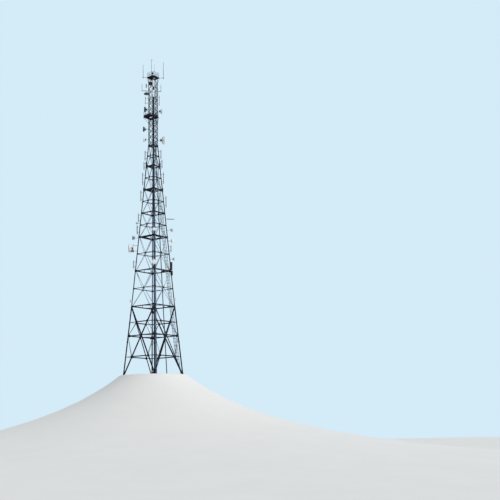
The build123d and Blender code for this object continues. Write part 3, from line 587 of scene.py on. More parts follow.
flange_bolt = copy_of(bolt_shape(0.002, 0.008), "flange_bolt")
plate_bolt = copy_of(bolt_shape(0.0022, 0.0032), "plate_bolt")
nut = Shape()
nut.turned(ORIGIN, Z, [(0.0041, 0), (0.0041, 0.0005), (0.0031, 0.0005), (0.0031, 0.003), (0.0022, 0.0034),
    (0.0022, 0.0062), (0.0018, 0.0066)], 6, False)
anchor_nut = copy_of(nut, "anchor_nut")


THICK, RIM, NECK, BOLTS = 0.004, 0.006, 0.0018, 8


def collar(low, high, radius, rim):
    """The outline of a welded flange on a tube, between two places along it."""
    edge, neck = 0.0006, NECK
    return [(radius, low - neck * 2), (radius + neck, low), (radius + rim - edge, low),
        (radius + rim, low + edge), (radius + rim, high - edge), (radius + rim - edge, high),
        (radius + neck, high), (radius, high + neck * 2)]


def make_legs():
    """Round leg tubes with welded flanges, base plates, ribs and bolts."""
    thick, rim = THICK, RIM
    splices, anchors = [], []
    for corner in CORNERS:
        for low, high, radius, flanges, node in (
            (0.0025, WAIST_Z, LEG_R, [0.7], "lower_leg"),
            (WAIST_Z, SHAFT_Z, UPPER_R, [2.22, 2.96, 4.015], "upper_leg"),
            (SHAFT_Z, TOP_Z, CHORD_R, [], "shaft_chords"),
        ):
            foot, head = leg_point(corner, low), leg_point(corner, high)
            run = head - foot
            rate = run.length / (high - low)
            outline = [(radius, 0)]
            if low >= WAIST_Z:
                outline = [(radius + rim, 0), (radius + rim, thick), (radius + NECK, thick),
                    (radius, thick + 0.004)]
            for z in flanges:
                at = (z - low) * rate
                outline += collar(at - thick, at - 0.0002, radius, rim)[:6] + [(radius + rim - 0.001, at)]
                outline += collar(at + 0.0002, at + thick, radius, rim)[2:]
                splices.append((corner, z, radius + rim * 0.5))
            end = run.length
            if high < TOP_Z:
                outline += [(radius, end - thick - 0.004), (radius + NECK, end - thick),
                    (radius + rim, end - thick), (radius + rim, end)]
                splices.append((corner, high, radius + rim * 0.4))
            else:
                outline += [(radius, end)]
            s = Shape()
            s.turned(foot, run, outline, 28)
            for z in flanges + ([high] if high < TOP_Z else []):
                for n in range(BOLTS):
                    way = outward(corner, (n + 0.5) * 360 / BOLTS)
                    for side in (1, -1) if z != high else (-1,):
                        spot = leg_point(corner, z) + Z * (side * thick)
                        rib = [(radius * 0.9, 0), (radius + rim * 0.9, 0), (radius * 0.98, 0.016)]
                        s.prism(rib if side > 0 else rib[::-1], way, Z * side, way.cross(Z * side),
                            spot - way.cross(Z * side) * 0.0005, 0.001)
            if low < 0.01:
                spot = leg_point(corner, 0)
                s.box(spot + Z * 0.0025, Y, (0.056, 0.056, 0.005), 0.0007)
                for n in range(8):
                    way = outward(corner, 45 * n)
                    reach = 0.0275 if n % 2 == 0 else 0.026
                    rib = [(0.01, 0.0), (reach, 0.0), (reach, 0.002), (0.0125, 0.026), (0.01, 0.026)]
                    s.prism(rib, way, Z, way.cross(Z), spot + Z * 0.0049 - way.cross(Z) * 0.001, 0.002)
                anchors += [spot + Vector((0.021 * i, 0.021 * j, 0.005)) for i in (-1, 1) for j in (-1, 1)]
            # The near leg takes its own darker copy of the leg paint: painted shade.
            s.made(f"{node}_{corner}_tube", "leg_paint" if corner != "near" else "near_leg_paint",
                "shaft_chords" if node == "shaft_chords" else f"{node}_{corner}")
    points, ways = [], []
    for corner, z, radius in splices:
        for n in range(BOLTS):
            points.append(leg_point(corner, z) + outward(corner, n * 360 / BOLTS) * radius)
            ways.append(Z)
    spots.grow("flange_bolts", points, [], "bolt_zinc", across=ways, Copy=flange_bolt)
    spots.grow("anchor_bolts", anchors, [], "bolt_zinc", across=[Z] * len(anchors), Copy=anchor_nut)


RING_LEVELS = [1.4543, 2.22, 2.96, 3.49, 4.015, 4.545, 5.0107]
MID_LEVELS = [(a + b) / 2 for a, b in zip(RING_LEVELS, RING_LEVELS[1:])]
CAGE_LEVEL = 3.61
BELTS = [0.39, WAIST_Z * BASE / (BASE + WAIST), 1.115]
PLAN_LEVELS = [z - 0.0038 for z in RING_LEVELS[:-1]] + MID_LEVELS + [BELTS[1]]


# How far behind a face's plane its flanges, diagonals and plan braces lie; a gusset's thickness
FLANGE_IN, DIAGONAL_IN, PLAN_IN, CORNER_IN, PLATE = 0.007, 0.004, 0.0036, 0.0016, 0.0016


def face_up(quarter, z):
    """The way up along a leaning face."""
    return (face_point(quarter, 0, z + 0.01) - face_point(quarter, 0, z)).normalized()


def grid(across, up):
    """Places of bolts in rows."""
    return [(u, v) for u in across for v in up]


def crossing_share(z):
    """Where the lower crossed diagonals pass a level, as a share of the half side."""
    return abs(-BASE / 2 + (WAIST / 2 + BASE / 2) * z / WAIST_Z) / half_side(z)


def short_of(z, by):
    """The share of the half side that ends short of the corner."""
    return 1 - by / half_side(z)


def span(quarter, share, z, inward=0.0):
    """The two ends of a bar across a face."""
    return tuple(face_point(quarter, side * share, z, inward) for side in (-1, 1))


def make_bracing_details():
    """Rings, belts and diagonals with their flanges, gusset plates, bolts and plan bracing."""
    rings, mids, webs, plan, cross = [], [], [], [], []
    channels, middles, diagonals, belts = [], [], [], []
    plates = Shape()
    points, ways = [], []

    def gusset(quarter, share, z, wide, tall, corner_cut, bolts):
        """A gusset plate on the outside of a face, with its bolts."""
        along = face_way(quarter).cross(Z) * -1
        up = face_up(quarter, z)
        normal = along.cross(up)
        middle = face_point(quarter, share, z) + normal * 0.0018
        outline = octagon(wide / 2, tall / 2, corner_cut)
        plates.prism(outline[4:] + outline[:4], along, up, normal, middle - normal * (PLATE / 2), PLATE)
        for u, v in bolts:
            points.append(middle + along * u + up * v - normal * 0.0012)
            ways.append(normal)

    for quarter in range(4):
        for z in RING_LEVELS:
            channels.append(span(quarter, short_of(z, 0.011), z))
            rings += [span(quarter, short_of(z, 0.016), z + up, FLANGE_IN) for up in (-0.009, 0.009)]
            for side in (-1, 1):
                gusset(quarter, side * short_of(z, 0.033), z, 0.046, 0.04, 0.008,
                    grid((-0.012, 0.0, 0.012), (-0.01, 0.01)))
        for z in MID_LEVELS:
            mids.append(span(quarter, short_of(z, 0.013), z - 0.0045, 0.005))
            middles.append(span(quarter, short_of(z, 0.011), z))
            gusset(quarter, 0, z, 0.046, 0.044, 0.014,
                [(-0.013, 0.0), (0.013, 0.0), (-0.006, 0.011), (0.006, 0.011), (-0.006, -0.011),
                (0.006, -0.011), (0.0, 0.0)])
            for side in (-1, 1):
                gusset(quarter, side * short_of(z, 0.026), z, 0.03, 0.026, 0.005,
                    [(-0.008, 0.0), (0.0, 0.0), (0.008, 0.0)])
        for low, mid, high in zip(RING_LEVELS, MID_LEVELS, RING_LEVELS[1:]):
            for end in (low, high):
                for side in (-1, 1):
                    start = face_point(quarter, side * short_of(end, 0.03), end + (mid - end) * 0.07,
                        DIAGONAL_IN)
                    stop = face_point(quarter, side * 0.03, mid + (end - mid) * 0.04, DIAGONAL_IN)
                    webs.append((start, stop))
                    foot = face_point(quarter, side * short_of(end, 0.024), end)
                    diagonals.append((foot, face_point(quarter, 0, mid)))
        for z in BELTS:
            crossing, middle = crossing_share(z), z == BELTS[1]
            for side in (0,) if middle else (-1, 1):
                gusset(quarter, side * crossing, z, 0.06, 0.056, 0.016,
                    grid((-0.02, -0.007, 0.007, 0.02), (-0.007, 0.007)) + grid((-0.012, 0.012), (0.02,))
                    + grid((-0.012, 0.012), (-0.02,)))
            share = short_of(z, 0.014) if middle else crossing
            belts += [span(quarter, share, z + up, FLANGE_IN) for up in (-0.0093, 0.0093)]
        for side in (-1, 1):
            gusset(quarter, side * short_of(BELTS[1], 0.04), BELTS[1], 0.056, 0.052, 0.01,
                grid((-0.015, 0, 0.015), (-0.014, 0, 0.014)))
    for z in PLAN_LEVELS:
        for quarter in range(4):
            if quarter or z < CAGE_LEVEL:
                a = face_point(quarter, 0, z, PLAN_IN)
                b = face_point((quarter + 1) % 4, 0, z, PLAN_IN)
                (cross if z in MID_LEVELS else plan).append((a, b))
    for z in (BELTS[0], BELTS[2]):
        share = crossing_share(z)
        for quarter in range(4):
            a = face_point(quarter, share, z, CORNER_IN)
            b = face_point((quarter + 1) % 4, -share, z, CORNER_IN)
            plan.append((a, b))
    bars = [f"upper_bracing_{face}" for face in ("front_right", "back_right", "back_left", "front_left")]
    for name, pairs, finish, sizes in (
        ("ring_channels", channels, "tower_steel", dict(Width=0.02, Thickness=0.002)),
        ("mid_ring_bars", middles, "tower_steel", dict(Width=0.013, Thickness=0.002)),
        ("upper_diagonals", diagonals, "galvanised", dict(Width=0.009, Thickness=0.002)),
    ):
        flats.along(name, pairs, finish, *bars, **sizes)
    for name, pairs, sizes in (
        ("ring_flanges", rings, dict(Width=0.0024, Thickness=0.014)),
        ("belt_flanges", belts, dict(Width=0.0024, Thickness=0.012)),
        ("mid_ring_flanges", mids, dict(Width=0.0018, Thickness=0.008)),
        ("diagonal_flanges", webs, dict(Width=0.0014, Thickness=0.007)),
        ("plan_braces", plan, dict(Width=0.0105, Depth=0.009, Thickness=0.0016, Out=0.0045, Up=0.0045)),
        ("light_plan_braces", cross, dict(Width=0.006, Depth=0.005, Thickness=0.0012, Out=0.0025,
            Up=0.0025)),
    ):
        stands_for = ("corner_braces",) if name.endswith("braces") else ()
        grow_bars(name, pairs, "galvanised" if name == "diagonal_flanges" else "tower_steel", *stands_for,
            **sizes)
    plates.made("gusset_plates", "plate_paint")
    spots.grow("plate_bolts", points, [], "bolt_zinc", across=ways, Copy=plate_bolt)


def make_shaft_details():
    """The second diagonals of the shaft's faces, and the cable bundles and clamps inside it."""
    pairs = []
    pitch = (TOP_Z - SHAFT_Z) / SHAFT_PANELS
    node = (SHAFT / 2 - CHORD_R) / (SHAFT / 2)
    for quarter in range(4):
        for n in range(SHAFT_PANELS):
            side = -node if n % 2 else node
            low, high = SHAFT_Z + n * pitch, SHAFT_Z + (n + 1) * pitch
            pairs.append((face_point(quarter, side, low, CORNER_IN),
                face_point(quarter, -side, high, CORNER_IN)))
    bundles, spacers = Shape(), Shape()
    inward = 0.018
    for corner, count, top in (("left", 3, 6.3), ("far", 3, 6.1), ("right", 3, 6.45), ("near", 4, 6.5)):
        sideways = outward(corner).cross(Z)
        for n in range(count):
            spot = leg_point(corner, SHAFT_Z + 0.03, -inward) + sideways * ((n - (count - 1) / 2) * 0.0096)
            rise = Z * (top - n * 0.12 - SHAFT_Z - 0.03)
            bundles.path([spot, spot + rise * 0.5, spot + rise], 0.0045, 8)
        for n in range(11):
            spot = leg_point(corner, SHAFT_Z + 0.07 + n * 0.1)
            spacers.bar(spot, spot - outward(corner) * (inward + 0.002), Z, 0.004, 0.018, 0.0004)
    bundles.made("shaft_cable_bundles", "cable_jacket")
    spacers.made("shaft_cable_clamps", "plate_paint")
    angles.along("shaft_cross_bars", pairs, "tower_steel", Width=0.009, Depth=0.006, Thickness=0.0016,
        Out=0.0025, Up=0.003)


def deck_plan(node):
    """A deck's top face in plan: its triangles, the edges round it, and its height."""
    mesh = nodes[node].data
    top = max(v.co.z for v in mesh.vertices)
    triangles, uses = [], {}
    for side in mesh.polygons:
        ring = [mesh.vertices[n].co for n in side.vertices]
        if min(co.z for co in ring) < top - 1e-5:
            continue
        ring = [(round(co.x, 5), round(co.y, 5)) for co in ring]
        triangles += [(ring[0], b, c) for b, c in zip(ring[1:], ring[2:])]
        for a, b in zip(ring, ring[1:] + ring[:1]):
            uses[tuple(sorted((a, b)))] = uses.get(tuple(sorted((a, b))), 0) + 1
    return triangles, sorted(edge for edge, count in uses.items() if count == 1), top


def clipped(triangles, way, offset):
    """The stretches of a line that lie on a deck: way is its direction in plan."""
    across, found = (-way[1], way[0]), []
    for ring in triangles:
        cuts = []
        for a, b in zip(ring, ring[1:] + ring[:1]):
            da = a[0] * across[0] + a[1] * across[1] - offset
            db = b[0] * across[0] + b[1] * across[1] - offset
            if da * db < 0:
                share = da / (da - db)
                cuts.append(sum((a[i] + (b[i] - a[i]) * share) * way[i] for i in (0, 1)))
        if len(cuts) == 2:
            found.append(sorted(cuts))
    merged = []
    for low, high in sorted(found):
        if merged and low < merged[-1][1] + 0.0002:
            merged[-1][1] = max(high, merged[-1][1])
        else:
            merged.append([low, high])
    return [
        [(way[0] * t + across[0] * offset, way[1] * t + across[1] * offset) for t in run]
        for run in merged if run[1] - run[0] > 0.006
    ]


def make_decks():
    """Open grating decks: bearing bars, cross rods, an edge angle and joists."""
    turns = {f"platform_{n}": -45 for n in range(1, 8)} | {"shaft_platform": 0, "top_platform": 0}
    for node, turn in turns.items():
        triangles, borders, top = deck_plan(node)
        bearing, rods, joists = [], [], []
        edge = [tuple(Vector((*p, top - 0.005)) for p in border) for border in borders]
        corners = [p for ring in triangles for p in ring]
        for lines, angle, pitch, z in (
            (bearing, turn, 0.004, top - 0.0013),
            (rods, turn + 90, 0.012, top - 0.0006),
            (joists, turn + 90, 0.06, top - 0.0075),
        ):
            way = (cos(radians(angle)), sin(radians(angle)))
            offsets = [-way[1] * x + way[0] * y for x, y in corners]
            low, high = min(offsets), max(offsets)
            count = max(1, int((high - low) / pitch))
            for n in range(count):
                for run in clipped(triangles, way, low + (n + 0.5) * (high - low) / count):
                    lines.append(tuple(Vector((x, y, z)) for x, y in run))
        for kind, pairs, sizes in (
            ("bearing_bars", bearing, dict(Width=0.0024, Thickness=0.0016)),
            ("cross_rods", rods, dict(Width=0.001, Thickness=0.001)),
            ("edge_angle", edge, dict(Width=0.011, Depth=0.006, Thickness=0.0014, Out=0.0, Up=0.0)),
            ("joists", joists, dict(Width=0.009, Depth=0.004, Thickness=0.0016, Out=0.0, Up=-0.004)),
        ):
            if pairs:
                grow_bars(f"{node}_{kind}", pairs, "deck_steel", node, **sizes)


# ---------------------------------------------------------------- ladders and cables
LADDER_IN, CAGE_R, CAGE_PITCH, RUNG_PITCH, RISER_TOP = 0.045, 0.037, 0.07, 0.03, 3.7
RUNG_WAY = Vector((sqrt(0.5), sqrt(0.5), 0))


def ladder_line(low, high, inward=LADDER_IN):
    """A run of the ladder between two heights, inwards of the right leg."""
    return leg_point("right", low, -inward), leg_point("right", high, -inward)


def make_ladder():
    """Rungs all the way up, and the hoops and straps of the safety cage."""
    rung = Shape()
    rung.pipe(X * -0.0195, X * 0.0195, 0.0012, 8)
    runs = [ladder_line(0.015, 1.437), ladder_line(1.443, 5.022), ladder_line(5.028, 6.64)]
    rows.along("ladder_rungs", runs, "ladder_zinc", across=RUNG_WAY, Pitch=RUNG_PITCH,
        Copy=copy_of(rung, "rung"))
    hoop = Shape()
    inner, outer, tall = CAGE_R + 0.0009, CAGE_R + 0.0026, 0.0045
    back = CAGE_R * 0.85
    turn = radians(124)
    count = 27
    turns = [-turn + 2 * turn * n / (count - 1) for n in range(count)]
    arc = [(cos(angle), sin(angle)) for angle in turns]
    ring_of = ((outer, -tall / 2), (outer, tall / 2), (inner, tall / 2), (inner, -tall / 2))
    points = [Vector((x * r, y * r, z)) for r, z in ring_of for x, y in arc]
    sides = []
    for n in range(count - 1):
        for a, b in ((0, 1), (1, 2), (2, 3), (3, 0)):
            sides.append((a * count + n, a * count + n + 1, b * count + n + 1, b * count + n))
    sides += [tuple(n * count for n in range(4)), tuple(n * count - 1 for n in (1, 4, 3, 2))]
    hoop.put(points, sides)
    for side in (-1, 1):
        a = Vector((cos(turn) * (inner + outer) / 2, side * sin(turn) * (inner + outer) / 2, 0))
        hoop.bar(a, Vector((-back - 0.001, side * 0.0212, 0)), Z, tall, 0.0016)
    hoop_copy = copy_of(hoop, "cage_hoop")
    inward = LADDER_IN + back
    way = outward("right") * -1
    rows.along("shaft_cage_hoops", [ladder_line(5.045, 6.42, inward)], "tower_steel", across=way,
        Pitch=CAGE_PITCH, Copy=hoop_copy)
    rows.along("cage_hoops_all", [ladder_line(0.255, 1.43, inward), ladder_line(1.46, 5.0, inward)],
        "ladder_zinc", "cage_hoops", across=way, Pitch=CAGE_PITCH, Copy=hoop_copy)
    straps = Shape()
    for turned_by in (-90, -45, 0, 45, 90):
        facing = Matrix.Rotation(radians(turned_by), 3, "Z") @ way
        a, b = (leg_point("right", z, -inward) + facing * CAGE_R for z in (5.04, 6.425))
        straps.bar(a, b, Z.cross(facing), 0.004, 0.0015)
    straps.made("shaft_cage_straps", "tower_steel")


def feeder_off(z):
    """How far the feeders stand from the near leg's side of the face."""
    if z <= WAIST_Z:
        return 0.068 - 0.008 * z / WAIST_Z
    return 0.06 - 0.027 * min(1, (z - WAIST_Z) / (SHAFT_Z - WAIST_Z))


def feeder_point(z, shift=0.0, inward=0.022):
    """A point on the feeder ladder behind the front right face."""
    half = half_side(z)
    return CENTRE + Vector((feeder_off(z) - half + shift, inward - half, z))


def chained(low, high, place):
    """Edges along the tower between two heights, through the section joints."""
    stops = [low] + [z for z in (WAIST_Z, SHAFT_Z) if low < z < high] + [high]
    return [(place(a), place(b)) for a, b in zip(stops, stops[1:])]


def bent_points(low, high, place):
    """Points along the tower, rounded a little at the section joints."""
    stops = [low]
    for z in (WAIST_Z, SHAFT_Z):
        if low < z < high:
            stops += [z - 0.12, z - 0.04, z + 0.04, z + 0.12]
    return [place(z) for z in stops + [high]]


def make_feeders():
    """The cable ladder beside the near leg, its cables and clamps, and the narrow second one."""
    rung = Shape()
    rung.box(X * 0.0065, Y, (0.053, 0.003, 0.0016), 0.0003)
    rows.along("feeder_rungs", chained(0.012, 6.59, feeder_point), "galvanised", across=X, Pitch=0.034,
        Copy=copy_of(rung, "feeder_rung"))
    cables = Shape()
    layout = [(-0.0165, 0.0279, 0.0032, 6.55), (-0.0095, 0.0282, 0.0034, 6.55),
        (-0.002, 0.0279, 0.0034, 6.5), (0.0052, 0.0276, 0.0032, 6.3), (0.0118, 0.0272, 0.003, 5.95),
        (0.0176, 0.027, 0.003, 5.4), (0.024, 0.027, 0.003, 4.95), (0.03, 0.0268, 0.0026, 4.5),
        (-0.011, 0.0334, 0.0024, 6.0), (-0.0042, 0.0338, 0.0026, 5.15), (0.0026, 0.0332, 0.0022, 4.3)]
    for shift, inward, radius, top in layout:
        cables.path(bent_points(0.0015, top, lambda z: feeder_point(z, shift, inward)), radius, 10)
    cables.made("feeder_cables_round", "feeder_jacket", "feeder_cables")
    clamp = Shape()
    clamp.box(Y * 0.0112 + X * 0.0065, Y, (0.053, 0.0016, 0.005), 0.0004)
    for x in (-0.0182, -0.003, 0.0182):
        clamp.disc(Vector((x, 0.0118, 0)), Y, 0.0013, 0.0016, 6, False)
    for x in (-0.0145, -0.0078, -0.0008, 0.0058, 0.0116):
        clamp.box(Vector((x, 0.003, 0)), Y, (0.0066, 0.0015, 0.006), 0.0003)
    rows.along("feeder_clamps", chained(0.07, 6.5, feeder_point), "galvanised", across=X, Pitch=0.1,
        Copy=copy_of(clamp, "feeder_clamp"))
    second = Shape()

    def riser_point(z, shift=0.0, out=0.0048):
        half = half_side(z)
        return CENTRE + Vector((-0.16 * half + shift, -half - out, z))

    for side in (-0.0098, 0.0098):
        for a, b in chained(0.0005, RISER_TOP, lambda z: riser_point(z, side)):
            second.bar(a, b, X, 0.0022, 0.006, 0.0003)
    second.made("riser_rails", "riser_teal", "riser")
    lines = Shape()
    for shift, radius in ((-0.0058, 0.0028), (0.0, 0.003), (0.0058, 0.0028)):
        lines.path(bent_points(0.002, 3.69, lambda z: riser_point(z, shift, 0.0062)), radius, 8)
    lines.made("riser_cables", "riser_teal", "riser")
    lines = Shape()
    for shift in (-0.0058, 0.0, 0.0058):
        lines.path([riser_point(z, shift) for z in (3.69, 4.2, 4.6, 4.98)], 0.0028, 8)
    for z in (3.7525, 4.015, 4.28, 4.545, 4.7779):
        lines.box(riser_point(z), Y, (0.02, 0.007, 0.0036), 0.0004)
    lines.made("riser_upper_cables", "riser_teal")
    step = Shape()
    step.box(ORIGIN, Y, (0.019, 0.002, 0.0026), 0.0003)
    rows.along("riser_rungs", chained(0.02, 3.68, riser_point), "riser_teal", "riser", across=X, Pitch=0.04,
        Copy=copy_of(step, "riser_rung"))


def make_leg_sleeves():
    """Dark sleeves round the left and right legs at platforms 5 and 6."""
    s = Shape()
    for corner in ("left", "right"):
        for z, tall in ((4.015, 0.08), (4.565, 0.14)):
            toward = outward(corner)
            side = toward.cross(Z)
            leg = leg_point(corner, z)
            s.box(leg, toward, (0.034, 0.034, tall), 0.004)
            for n in range(5):
                for way, over in ((toward, side), (side, toward), (-toward, side), (-side, toward)):
                    s.block(leg + way * 0.0172 + over * (0.0056 * (n - 2)), over, way, Z,
                        (0.0016, 0.003, tall * 0.86), 0.0003)
            for up in (-0.32, 0.32):
                s.box(leg + Z * (tall * up), toward, (0.0376, 0.0376, 0.008), 0.001)
    s.made("leg_sleeves", "cabinet_dark")


def make_railings():
    """Round railings with posts, knee rails and toe boards on the two shaft platforms."""
    for node, foot, low, high in (
        ("shaft_platform_railing", SHAFT_DECK, (-0.155, -0.09), (0.09, 0.155)),
        ("top_platform_railing", TOP_DECK, (-0.099, -0.099), (0.099, 0.099)),
    ):
        s = Shape()
        tall, inset = 0.11, 0.004
        x0, x1, y0, y1 = low[0] + inset, high[0] - inset, low[1] + inset, high[1] - inset
        ring = [CENTRE + Vector((x, y, foot)) for x, y in ((x0, y0), (x1, y0), (x1, y1), (x0, y1))]
        for start, end in zip(ring, ring[1:] + ring[:1]):
            way = (end - start).normalized()
            start, end = start + way * 0.012, end - way * 0.012
            length = (end - start).length
            posts = 4 if length < 0.2 else 5
            for n in range(posts):
                spot = start.lerp(end, n / (posts - 1))
                s.pipe(spot, spot + Z * (tall - 0.001), 0.0024, 10)
                s.box(spot + Z * 0.0012, way, (0.007, 0.0085, 0.0024), 0.0004)
            for z, radius in ((tall - 0.0028, 0.0027), (tall * 0.52, 0.002), (tall * 0.27, 0.0014)):
                s.pipe(start + Z * z - way * 0.003, end + Z * z + way * 0.003, radius, 10)
            plate = 0.04 if node.startswith("shaft") else 0.014
            s.bar(start + Z * (0.0015 + plate / 2), end + Z * (0.0015 + plate / 2), Z, plate, 0.0012)
        s.made(f"{node}_round", "tower_steel", node)


# ---------------------------------------------------------------- antennas
PIPE = 0.003
BLUE_PANEL, COVERED_DISH = ("left", 3.12), ("left", 2.712)
# node: its corner, reach, how much longer the pipe is, and each panel's height and length
PANELS = {
    "left_panels": ("left", 0.046, 0.02,
        [(2.362, 0.152), (3.12, 0.176), (3.386, 0.178), (3.878, 0.225), (4.261, 0.26), (4.56, 0.15),
        (4.79, 0.2)]),
    "right_panels": ("right", 0.046, 0.02,
        [(2.712, 0.12), (3.755, 0.24), (4.29, 0.24), (4.61, 0.17), (4.83, 0.18)]),
    "shaft_panels": ("near", 0.022, -0.034, [(6.188, 0.164), (6.424, 0.164)]),
}
# corner, height, reach and length
PIPE_AERIALS = [("left", 6.059, 0.072, 0.19), ("right", 6.071, 0.037, 0.25)]
# node: corner, height, reach, radius, turn, facing and finish of each dish
DISHES = {
    "left_dishes": [("left", 2.712, 0.1, 0.09, 0, 0, "dish_white"),
        ("left", 2.94, 0.09, 0.045, 0, 0, "dish_blue"), ("left", 3.264, 0.066, 0.027, 0, 0, "dish_white")],
    "right_dishes": [("right", 2.482, 0.07, 0.032, 0, 0, "dish_white"),
        ("right", 2.88, 0.08, 0.042, 0, -40, "dish_white"),
        ("right", 3.12, 0.09, 0.04, 0, 0, "dish_white")],
    "near_dishes": [("near", 2.34, 0.04, 0.048, 0, 0, "dish_white"),
        ("near", 3.06, 0.04, 0.033, 0, 0, "dish_white"),
        ("near", 2.027, 0.062, 0.022, 62, -62, "dish_white")],
    "shaft_dishes": [("left", 5.155, 0.06, 0.05, 0, 0, "dish_white"),
        ("left", 5.395, 0.06, 0.057, 0, 0, "dish_teal"), ("left", 5.855, 0.034, 0.06, 0, 0, "dish_teal"),
        ("right", 5.148, 0.06, 0.09, 0, 0, "dish_white"),
        ("right", 5.818, 0.04, 0.058, 0, 0, "dish_white")],
}


def mount(s, corner, z, reach, length, turn=0.0):
    """A pipe held off a leg by clamped arms."""
    toward = outward(corner, turn)
    middle = leg_point(corner, z, reach, turn)
    s.pipe(middle - Z * (length / 2), middle + Z * (length / 2), PIPE, 14)
    side = toward.cross(Z)
    radius = leg_size(z)
    for share in (-0.6, 0.6) if length > 0.12 else (0.0,):
        level = z + share * length / 2
        leg = leg_point(corner, level)
        start, end = leg + toward * (radius * 0.8), Vector((middle.x, middle.y, level))
        s.bar(start, end, Z, 0.0052, 0.004, 0.0004)
        s.disc(leg - Z * 0.0042, leg_point(corner, level + 0.01) - leg_point(corner, level),
            radius + 0.0012, 0.0084, 24)
        for sign in (-1, 1):
            s.box(leg + side * (sign * (radius + 0.0028)), toward, (0.0046, 0.01, 0.007), 0.0005)
            s.pin(leg + side * (sign * (radius + 0.003)), toward, 0.0072, 0.0009)
            s.box(end + side * (sign * 0.0042), toward, (0.0026, 0.008, 0.0062), 0.0004)
            s.pin(end + side * (sign * 0.0042), toward, 0.0055, 0.0007)


# A sector panel seen from above: flat back, round front
PANEL_OUTLINE = [(-0.0148, 0.0), (-0.015, 0.0012), (-0.015, 0.0068), (-0.0142, 0.0086), (-0.0122, 0.0102),
    (-0.009, 0.0113), (-0.0045, 0.0119), (0.0045, 0.0119), (0.009, 0.0113), (0.0122, 0.0102),
    (0.0142, 0.0086), (0.015, 0.0068), (0.015, 0.0012), (0.0148, 0.0)]


def panel(cover, metal, wires, corner, z, length, reach):
    """A sector panel: its cover, end caps, brackets, connectors and tails."""
    toward = outward(corner)
    side = toward.cross(Z)
    pipe = leg_point(corner, z, reach)
    foot = pipe + toward * 0.0066 - Z * (length / 2)
    ring = [(-x, y) for x, y in PANEL_OUTLINE[::-1]]
    cover.prism(ring, side * -1, toward, Z, foot + Z * 0.003, length - 0.006, 0.0006)
    cap = [(x * 1.02, y * 1.01) for x, y in ring]
    for level in (0.0, length - 0.0042):
        metal.prism(cap, side * -1, toward, Z, foot + Z * level, 0.0042, 0.0008)
    for share in (0.16, 0.84):
        spot = pipe + Z * (length * (share - 0.5))
        metal.box(spot + toward * 0.0051, toward, (0.011, 0.004, 0.007), 0.0005)
        metal.box(spot - toward * 0.0038, toward, (0.012, 0.0022, 0.006), 0.0005)
        for sign in (-1, 1):
            metal.pipe(spot + side * (sign * 0.0045) - toward * 0.006,
                spot + side * (sign * 0.0045) + toward * 0.0066, 0.0008, 8)
    for shift in (-0.0075, 0.0075):
        plug = foot + side * shift + toward * 0.0058
        metal.turned(plug, -Z, [(0.0019, 0), (0.0019, 0.003), (0.0014, 0.0034), (0.0014, 0.0062)], 10)
        leg = leg_point(corner, z - length / 2 - 0.035, leg_size(z) + 0.0012) + side * (shift * 0.5)
        a = plug - Z * 0.0055
        wires.path([a, a - Z * 0.006, a - Z * 0.013 - toward * 0.006,
            pipe + side * shift * 0.6 - Z * (length / 2 + 0.02) - toward * 0.003,
            (pipe + leg) / 2 + side * shift * 0.3 - Z * (length / 4 + 0.014),
            leg + toward * 0.003 + Z * 0.004, leg - Z * 0.016,
            leg_point(corner, z - length / 2 - 0.085, leg_size(z) + 0.001) + side * (shift * 0.5)], 0.001,
            7)


def dish(s, back, corner, z, reach, r, turn, facing, front=None, radio=None):
    """A closed dish in s, its hub and bracket in back; where given, cover in front, box in radio."""
    heading = outward(corner, turn + facing)
    pipe = leg_point(corner, z, reach, turn)
    seat = pipe + heading * (PIPE + 0.0003)
    rim = 0.0012 * 0.4
    bowl = [(0, r * 0.27), (r * 0.2, r * 0.27), (r * 0.36, r * 0.305), (r * 0.55, r * 0.36),
        (r * 0.75, r * 0.43), (r * 0.92, r * 0.51), (r * 0.985, r * 0.56)]
    shroud = [(r * 0.99, r * 0.575), (r * 0.99, r * 0.9), (r + rim, r * 0.905), (r + rim, r * 0.985)]
    dome = [(r * 0.985, r), (r * 0.9, r * 1.035), (r * 0.7, r * 1.065), (r * 0.45, r * 1.085),
        (r * 0.2, r * 1.095), (0, r * 1.098)]
    if front is None:
        s.turned(seat, heading, bowl + shroud + dome, 40)
    else:
        s.turned(seat, heading, bowl + shroud, 40)
        front.turned(seat, heading, [(0, r * 0.988)] + dome, 40)
        box = pipe + heading * 0.018 - Z * 0.06
        radio.box(box, heading, (0.045, 0.075, 0.036), 0.002)
        back.bar(box + Z * 0.015, pipe, heading, 0.008, 0.006, 0.0005)
    back.turned(seat, heading, [(r * 0.17, 0), (r * 0.19, r * 0.02), (r * 0.19, r * 0.2),
        (r * 0.24, r * 0.22), (r * 0.24, r * 0.29)], 20)
    side = heading.cross(Z)
    for n in range(8):
        angle = 2 * pi * n / 8
        way = side * cos(angle) + Z * sin(angle)
        a, b = seat + heading * (r * 0.27) + way * (r * 0.22), seat + heading * (r * 0.5) + way * (r * 0.9)
        back.bar(a, b, way.cross(heading), 0.0012, 0.003)
    box = min(0.03, r * 0.55)
    back.box(seat + heading * (r * 0.1) + side * (r * 0.19 + box * 0.36), heading,
        (box * 0.7, box * 0.45, box), 0.0012)
    for sign in (-1, 1):
        back.box(pipe + Z * (sign * r * 0.3), heading, (0.0125, 0.0105, 0.006), 0.0006)
        back.bar(pipe + Z * (sign * r * 0.3) + heading * 0.004,
            seat + heading * (r * 0.22) + Z * (sign * r * 0.16), side, 0.006, 0.003, 0.0004)


